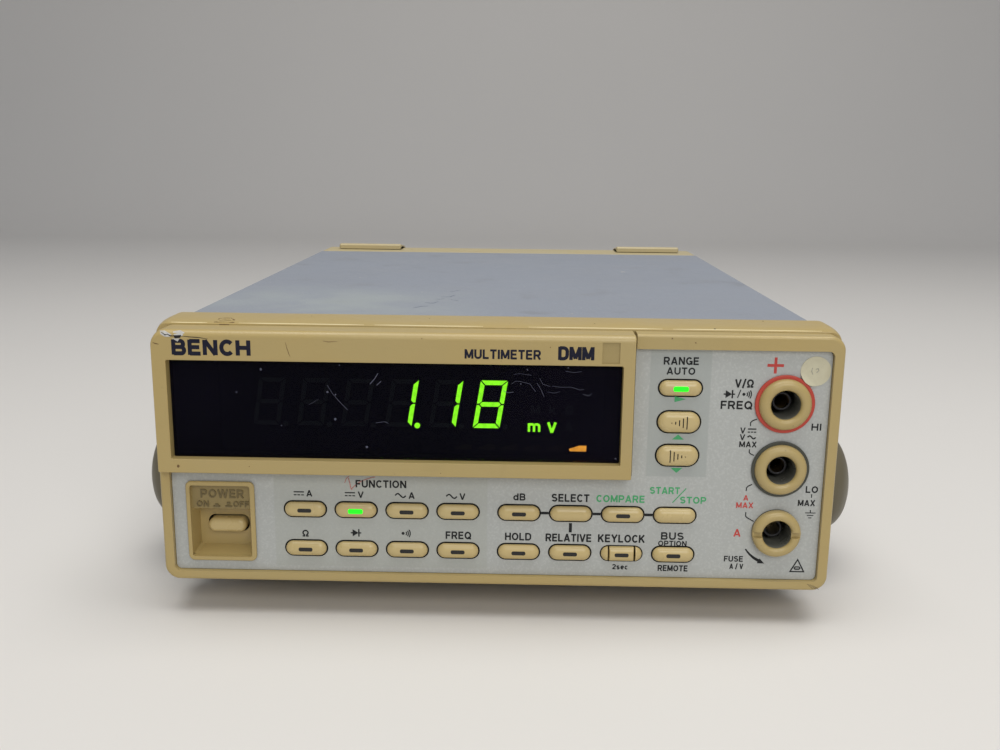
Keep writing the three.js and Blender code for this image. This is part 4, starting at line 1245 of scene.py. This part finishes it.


# ---- sticker, wear, marks and a painted edge highlight


def sticker():
    """The round label, which rides up over the edge of the red ring."""
    jx, jz = centre("colour_ring_hi")
    r, front, back, slope = 4.25, -0.14, -0.03, 1.6
    steps = [r * k / 8 for k in range(9)]
    bm = turned([(d, front) for d in steps] + [(d, back) for d in steps[::-1]], 89.7, 62.6, 56)
    for v in bm.verts:
        k = min(max((8.45 + slope - math.hypot(v.co.x - jx, v.co.z - jz)) / slope, 0), 1)
        v.co.y -= 0.8 * k * k * (3 - 2 * k)
    piece("round_sticker", bm, "case", paper, "label_cream")
    faint = bmesh.new()
    for points in ([(88.7, 63.6), (88.5, 62.6), (88.9, 61.7)],
                   [(89.6, 63.2), (90.3, 63.4), (90.5, 62.8), (89.9, 62.2)]):
        stroke(faint, points, 0.24, -0.17, -0.12)
    piece("sticker_marks", faint, "case", faint_grey, "legend_ink")


WINDOW_SCRATCHES = (
    # Points in X and Z, then the width.
    ([(-47.6, 57.0), (-46.2, 54.6), (-44.2, 52.2), (-42.0, 49.9)], 0.16),
    ([(-53.0, 51.2), (-51.5, 52.0), (-50.2, 52.9)], 0.08), ([(-35.5, 57.5), (-34.2, 59.0), (-33.2, 60.6)], 0.35),
    ([(-33.6, 57.2), (-32.4, 58.3)], 0.3), ([(-34.0, 46.2), (-31.5, 46.6), (-30.4, 46.1)], 0.15),
    ([(4.3, 58.0), (5.5, 59.0), (7.3, 58.8), (9.6, 58.2), (11.2, 56.0)], 0.13),
    ([(11.6, 58.5), (12.8, 56.5), (13.6, 54.6)], 0.16), ([(12.3, 59.9), (13.2, 58.2), (15.2, 57.6)], 0.14),
    ([(15.8, 57.7), (18.5, 57.4), (21.2, 57.5), (23.6, 56.7), (24.8, 56.9)], 0.12),
    ([(5.0, 60.8), (6.4, 61.2), (7.8, 61.0), (10.0, 60.7)], 0.1),
    ([(24.5, 55.5), (26.3, 55.0), (27.0, 55.8)], 0.14), ([(2.0, 56.2), (3.4, 55.6), (5.0, 55.8)], 0.2),
    ([(19.5, 62.0), (22.0, 61.7), (24.0, 62.0)], 0.14), ([(14.5, 56.0), (16.5, 55.7), (18.0, 56.1)], 0.1),
)
# X, Z and radius.
WINDOW_SPECKS = (
    (-66.3, 61.3, 0.42), (-73.5, 54.6, 0.26), (-47.6, 55.0, 0.34), (-45.3, 54.3, 0.26), (-45.6, 47.1, 0.42),
    (-36.7, 39.0, 0.4), (-79.0, 63.6, 0.25), (34.3, 36.8, 0.35), (-61.0, 45.0, 0.18), (-44.0, 62.8, 0.2),
    (8.8, 62.3, 0.24), (7.0, 58.2, 0.2), (20.2, 63.0, 0.2),
)


def ragged(x, z, r):
    """The outline of a speck of dirt."""
    return [(x + r * random.uniform(0.6, 1.1) * math.cos(a), z + r * random.uniform(0.6, 1.1) * math.sin(a))
            for a in around(9)]


def wear():
    """Scratches and specks on the window, and pen strokes on the panel."""
    face = span("display_window")[0].y
    on_window = face - 0.02, face + 0.02
    pale, pen = bmesh.new(), bmesh.new()
    for points, w in WINDOW_SCRATCHES:
        stroke(pale, points, w * 0.6, *on_window)
    for x, z, r in WINDOW_SPECKS:
        polygon(pale, ragged(x, z, r), *on_window)
    piece("window_scratches", pale, "case", scuff_pale, "window")
    for points, w in (([(-42.6, 28.9), (-42.2, 27.4), (-42.0, 26.0), (-41.6, 25.3)], 0.28),
                      ([(-41.8, 25.6), (-40.4, 27.0), (-38.6, 28.2), (-35.8, 29.2), (-34.8, 29.4)], 0.24),
                      ([(-43.7, 27.4), (-43.2, 28.8), (-42.4, 29.5)], 0.22)):
        stroke(pen, points, w)
    piece("pen_strokes", pen, "case", ink_pen, "legend_red")


def on_bezel(x, z):
    """The place and outward direction of the display bezel's front or rounded top edge."""
    r = BEZEL["lip"]
    up = min(max(z - (BEZEL["top"] - r), 0), r)
    out = math.sqrt(r * r - up * up)
    return Vector((x, BEZEL["front"] + r - out, z)), Vector((0, -out / r, up / r))


def on_rim(x, z):
    return Vector((x, span("panel_surround")[0].y, z)), Vector((0, -1, 0))


def on_frame(x, y):
    """The same for the front frame's upper face."""
    top = span("front_frame")[1].z
    drop = FRAME_TOP[-1][0]
    for (d0, y0), (d1, y1) in zip(FRAME_TOP, FRAME_TOP[1:]):
        if y1 <= y <= y0:
            drop = d0 + (d1 - d0) * (y0 - y) / (y0 - y1)
    return Vector((x, y, top - drop)), Vector((0, -0.2, 0.98))


def on_cover(x, y):
    return Vector((x, y, span("top_cover")[1].z)), Vector((0, 0, 1))


# How far a mark stands out of its surface, and how deep its back lies.
LIFT, DEPTH = 0.03, 0.15


def patch(bm, points, surface, lift=LIFT):
    """Adds a thin flake that lies on a surface, with its outline in that surface's own two directions."""
    rings = []
    for out in (-DEPTH, lift):
        places = [surface(a, b) for a, b in points]
        rings.append([bm.verts.new(p + n * out) for p, n in places])
    bridge(bm, *rings)
    for ring in rings:
        for t in tessellate_polygon([[Vector((a, b, 0)) for a, b in points]]):
            bm.faces.new([ring[i] for i in t])


def line_on(bm, points, w, surface, lift=LIFT):
    """Adds a scratch that tapers to its ends, on a surface."""
    for i, ((a, b), (c, d)) in enumerate(zip(points, points[1:])):
        step = Vector((c - a, d - b)).normalized() * (w / 2)
        k0 = 0.4 if i == 0 else 1.0
        k1 = 0.4 if i == len(points) - 2 else 1.0
        patch(bm, [(a - step.y * k0, b + step.x * k0), (a + step.y * k0, b - step.x * k0),
                   (c + step.y * k1, d - step.x * k1), (c - step.y * k1, d + step.x * k1)], surface, lift)


def speck(bm, a, b, r, surface):
    patch(bm, ragged(a, b, r), surface)


def damage():
    """The chipped corner, cracks, stains and specks of a well used case, and a painted highlight along the front
    frame's worn edge.
    """
    white, dark, brown, red, blue, pale, edge_highlight_and_wear, flake = (bmesh.new() for _ in range(8))
    # The chip in the display bezel's upper left corner.
    for bm, points, lift in (
        (white, [(-93.2, 71.4), (-91.9, 70.7), (-90.5, 70.7), (-90.1, 71.4), (-91.2, 71.9), (-92.1, 72.3),
                 (-93.5, 72.3)], 0.05),
        (white, [(-89.4, 71.2), (-87.1, 71.0), (-86.5, 71.9), (-87.9, 72.45), (-89.8, 72.1)], 0.05),
        (white, [(-90.0, 70.3), (-89.3, 69.9), (-88.5, 69.4), (-87.8, 70.3)], 0.04),
        (dark, [(-89.6, 71.15), (-89.2, 70.3), (-87.7, 70.5), (-87.3, 71.25)], 0.07),
    ):
        patch(bm, points, on_bezel, lift)
    # Cracks and rubs on the bezel.
    for bm, points, w, lift in (
        (dark, [(-91.3, 71.5), (-90.5, 71.0), (-89.4, 71.0)], 0.3, 0.07),
        (dark, [(-93.0, 71.9), (-92.0, 71.3), (-91.2, 71.3)], 0.25, 0.07),
        (dark, [(-87.5, 71.0), (-84.9, 70.75), (-82.6, 70.65), (-80.0, 70.25)], 0.22, LIFT),
        (brown, [(-95.5, 69.05), (-94.7, 68.75), (-93.8, 68.6)], 0.3, LIFT),
        (brown, [(-58.4, 69.6), (-58.0, 67.8), (-57.6, 66.6), (-57.2, 65.5)], 0.16, LIFT),
        (brown, [(-48.0, 70.2), (-46.5, 69.9), (-44.0, 70.1)], 0.16, LIFT),
    ):
        line_on(bm, points, w, on_bezel, lift)
    for x, z, r in ((-90.4, 33.3, 0.5), (-20.5, 71.2, 0.16), (15.0, 69.3, 0.16), (-70.0, 33.5, 0.16),
                    (-15.4, 32.4, 0.16)):
        speck(brown, x, z, r, on_bezel)
    # A flake lifted at the parting line, with a dark line round it.
    ring = [(-81.0, 5.6), (-80.6, 8.6), (-79.0, 10.0), (-77.4, 9.6), (-76.0, 7.6), (-75.6, 5.4), (-76.9, 4.7),
            (-79.2, 4.65)]
    middle = Vector((-78.2, 6.9))
    for bm, size, lift in ((brown, 1.12, LIFT), (flake, 0.86, 0.12)):
        patch(bm, [tuple(middle + (Vector(p) - middle) * size) for p in ring], on_frame, lift)
    for points in ([(-80.0, 6.2), (-78.6, 7.6), (-77.2, 8.0)], [(-79.6, 5.4), (-78.0, 6.4), (-76.6, 6.8)],
                   [(-79.4, 8.2), (-78.6, 8.9), (-77.6, 8.9)]):
        line_on(brown, points, 0.16, on_frame, 0.14)
    # The frame's worn front edge, with a pale line along it that is a painted highlight.
    for left, right in ((-93.5, -83.0), (-74.0, -38.0), (-35.0, -4.0), (9.0, 47.0), (50.0, 92.0)):
        steps = [left + (right - left) * i / 6 for i in range(7)]
        line_on(edge_highlight_and_wear, [(x, 4.98 + 0.06 * math.sin(x)) for x in steps], 0.42, on_frame, 0.04)
    for x, y, r in ((61.9, 5.6, 0.35), (78.1, 16.9, 0.3), (-20.0, 13.0, 0.2), (28.0, 9.0, 0.18),
                    (-55.0, 15.0, 0.2)):
        speck(dark, x, y, r, on_frame)
    for x, z, r in ((48.9, 71.6, 0.28), (55.5, 70.5, 0.24)):
        speck(brown, x, z, r, on_rim)
    for shift in (0, 0.8, 1.6):
        line_on(dark, [(91.6 + shift, -0.6 - shift * 0.3), (93.4 + shift, -2.2 - shift * 0.05)], 0.26, on_rim)
    # Marks on the top cover.
    patch(red, [(59.5, 21.4), (61.6, 24.8), (64.0, 24.2), (66.4, 23.2), (65.6, 20.7), (62.0, 21.6)], on_cover, 0.02)
    for x, y, r in ((49.9, 149.9, 1.0), (22.6, 31.6, 0.5), (-28.5, 78.0, 0.35), (50.3, 62.0, 0.3),
                    (-57.0, 118.0, 0.45), (8.0, 96.0, 0.3)):
        speck(pale, x, y, r, on_cover)
    for points in ([(-27.7, 39.5), (-25.6, 43.0), (-23.2, 44.2)], [(-25.0, 52.0), (-22.4, 50.4), (-20.8, 54.8)],
                   [(-22.0, 58.0), (-19.4, 62.0)], [(-20.8, 66.0), (-17.6, 66.6), (-16.2, 71.6)],
                   [(-18.4, 79.0), (-15.4, 84.8)], [(-17.0, 60.0), (-14.4, 57.2)]):
        line_on(blue, points, 0.5, on_cover, 0.02)
    for name, bm, look, slot in (
        ("parting_flake", flake, tan, "tan_plastic"),
        ("damage_white", white, chip_white, "label_cream"), ("damage_dark", dark, black_and_gap_shade, "black_plastic"),
        ("damage_brown", brown, stain, "legend_ink"), ("smear_on_cover", red, smear_red, "legend_red"),
        ("ink_on_cover", blue, ink_blue, "legend_ink"), ("specks_on_cover", pale, chip_white, "label_cream"),
        ("parting_highlights", edge_highlight_and_wear, tan_highlight_and_wear, "tan_plastic"),
    ):
        piece(name, bm, "case", look, slot)


# ---- kept CAD nodes


def inside_and_feet():
    for node, look in (("key_board", board), ("main_board", board), ("transformer", iron),
                       ("mains_switch", black), ("fuse_holder", black), ("display_tube", black_and_gap_shade)):
        dress(node, look)
    for end in ("front", "rear"):
        for side in ("left", "right"):
            dress(f"base_foot_{end}_{side}", rubber)


# ---- camera, floor and light

# Fitted to straight edges in the photo.
FOCAL_PIXELS, IMAGE_WIDTH = 1007.1, 1000
CAMERA_AT = (6.60, -278.16, 120.92)
PITCH, YAW, ROLL = (math.radians(a) for a in (12.314, -1.134, 0.611))


def camera():
    data = bpy.data.cameras.new("camera")
    data.sensor_width = 36
    data.lens = FOCAL_PIXELS / IMAGE_WIDTH * data.sensor_width
    data.clip_start, data.clip_end = 0.01, 20
    ob = bpy.data.objects.new("camera", data)
    scene.collection.objects.link(ob)
    cy, sy, cp, sp = math.cos(YAW), math.sin(YAW), math.cos(PITCH), math.sin(PITCH)
    cr, sr = math.cos(ROLL), math.sin(ROLL)
    yaw = Matrix(((cy, 0, -sy), (0, 1, 0), (sy, 0, cy)))
    pitch = Matrix(((1, 0, 0), (0, cp, -sp), (0, sp, cp)))
    roll = Matrix(((cr, -sr, 0), (sr, cr, 0), (0, 0, 1)))
    level = Matrix(((1, 0, 0), (0, 0, -1), (0, 1, 0)))
    right, down, ahead = roll @ pitch @ yaw @ level
    turn = Matrix((right, -down, -ahead)).transposed()
    ob.matrix_world = Matrix.Translation(TO_FRAME @ Vector(CAMERA_AT)) @ turn.to_4x4()
    scene.camera = ob


def floor():
    """A pale floor that curves up into a wall, in metres."""
    bm = bmesh.new()
    front, back, half_width, wall, bend = -1.6, 1.2, 2.4, 2.2, 0.5
    rows = [(front, 0.0)] + [(back + bend * math.sin(a), bend * (1 - math.cos(a))) for a in quarter(12)]
    rows.append((back + bend, wall))
    grid = [[bm.verts.new((x, y, z)) for x in (-half_width, half_width)] for y, z in rows]
    for a, b in zip(grid, grid[1:]):
        bm.faces.new((a[0], a[1], b[1], b[0]))
    mesh = bpy.data.meshes.new("floor")
    bm.to_mesh(mesh)
    bm.free()
    mesh.shade_smooth()
    look = Look("floor", (0.72, 0.70, 0.67), 0.6, specular=0.2)
    look.tint(look.ramp(look.noise(3, 3), 0.3, 0.7, 0, 0.2), (0.68, 0.66, 0.63))
    mesh.materials.append(look.finish())
    ob = bpy.data.objects.new("floor", mesh)
    scene.collection.objects.link(ob)


def area_light(name, at, target, size, watts, color):
    data = bpy.data.lights.new(name, "AREA")
    data.shape, data.size, data.size_y = "RECTANGLE", size[0], size[1]
    data.energy, data.color = watts, color
    ob = bpy.data.objects.new(name, data)
    scene.collection.objects.link(ob)
    ob.location = at
    ob.rotation_euler = (Vector(target) - Vector(at)).to_track_quat("-Z", "Y").to_euler()


def lights():
    area_light("overhead", (0.08, -0.25, 1.3), (0, 0, 0.05), (1.3, 0.9), 14.6, (1, 0.985, 0.95))
    area_light("front", (0.3, -1.3, 0.78), (0, 0, 0.06), (0.9, 0.6), 7.0, (1, 0.98, 0.95))
    world = bpy.data.worlds.new("world")
    world.use_nodes = True
    color, strength = world.node_tree.nodes["Background"].inputs[:2]
    color.default_value, strength.default_value = (0.86, 0.9, 1.0, 1), 0.23
    scene.world = world


# ---- build

camera()
floor()
lights()
front_frame()
panel_surround()
display_bezel()
display()
control_panel()
for key in KEYS:
    if key != "key_lock":
        key_cap(key)
lock_key()
power_control()
sockets()
fuse_holder()
covers()
rear()
handle()
legends()
sticker()
wear()
damage()
inside_and_feet()
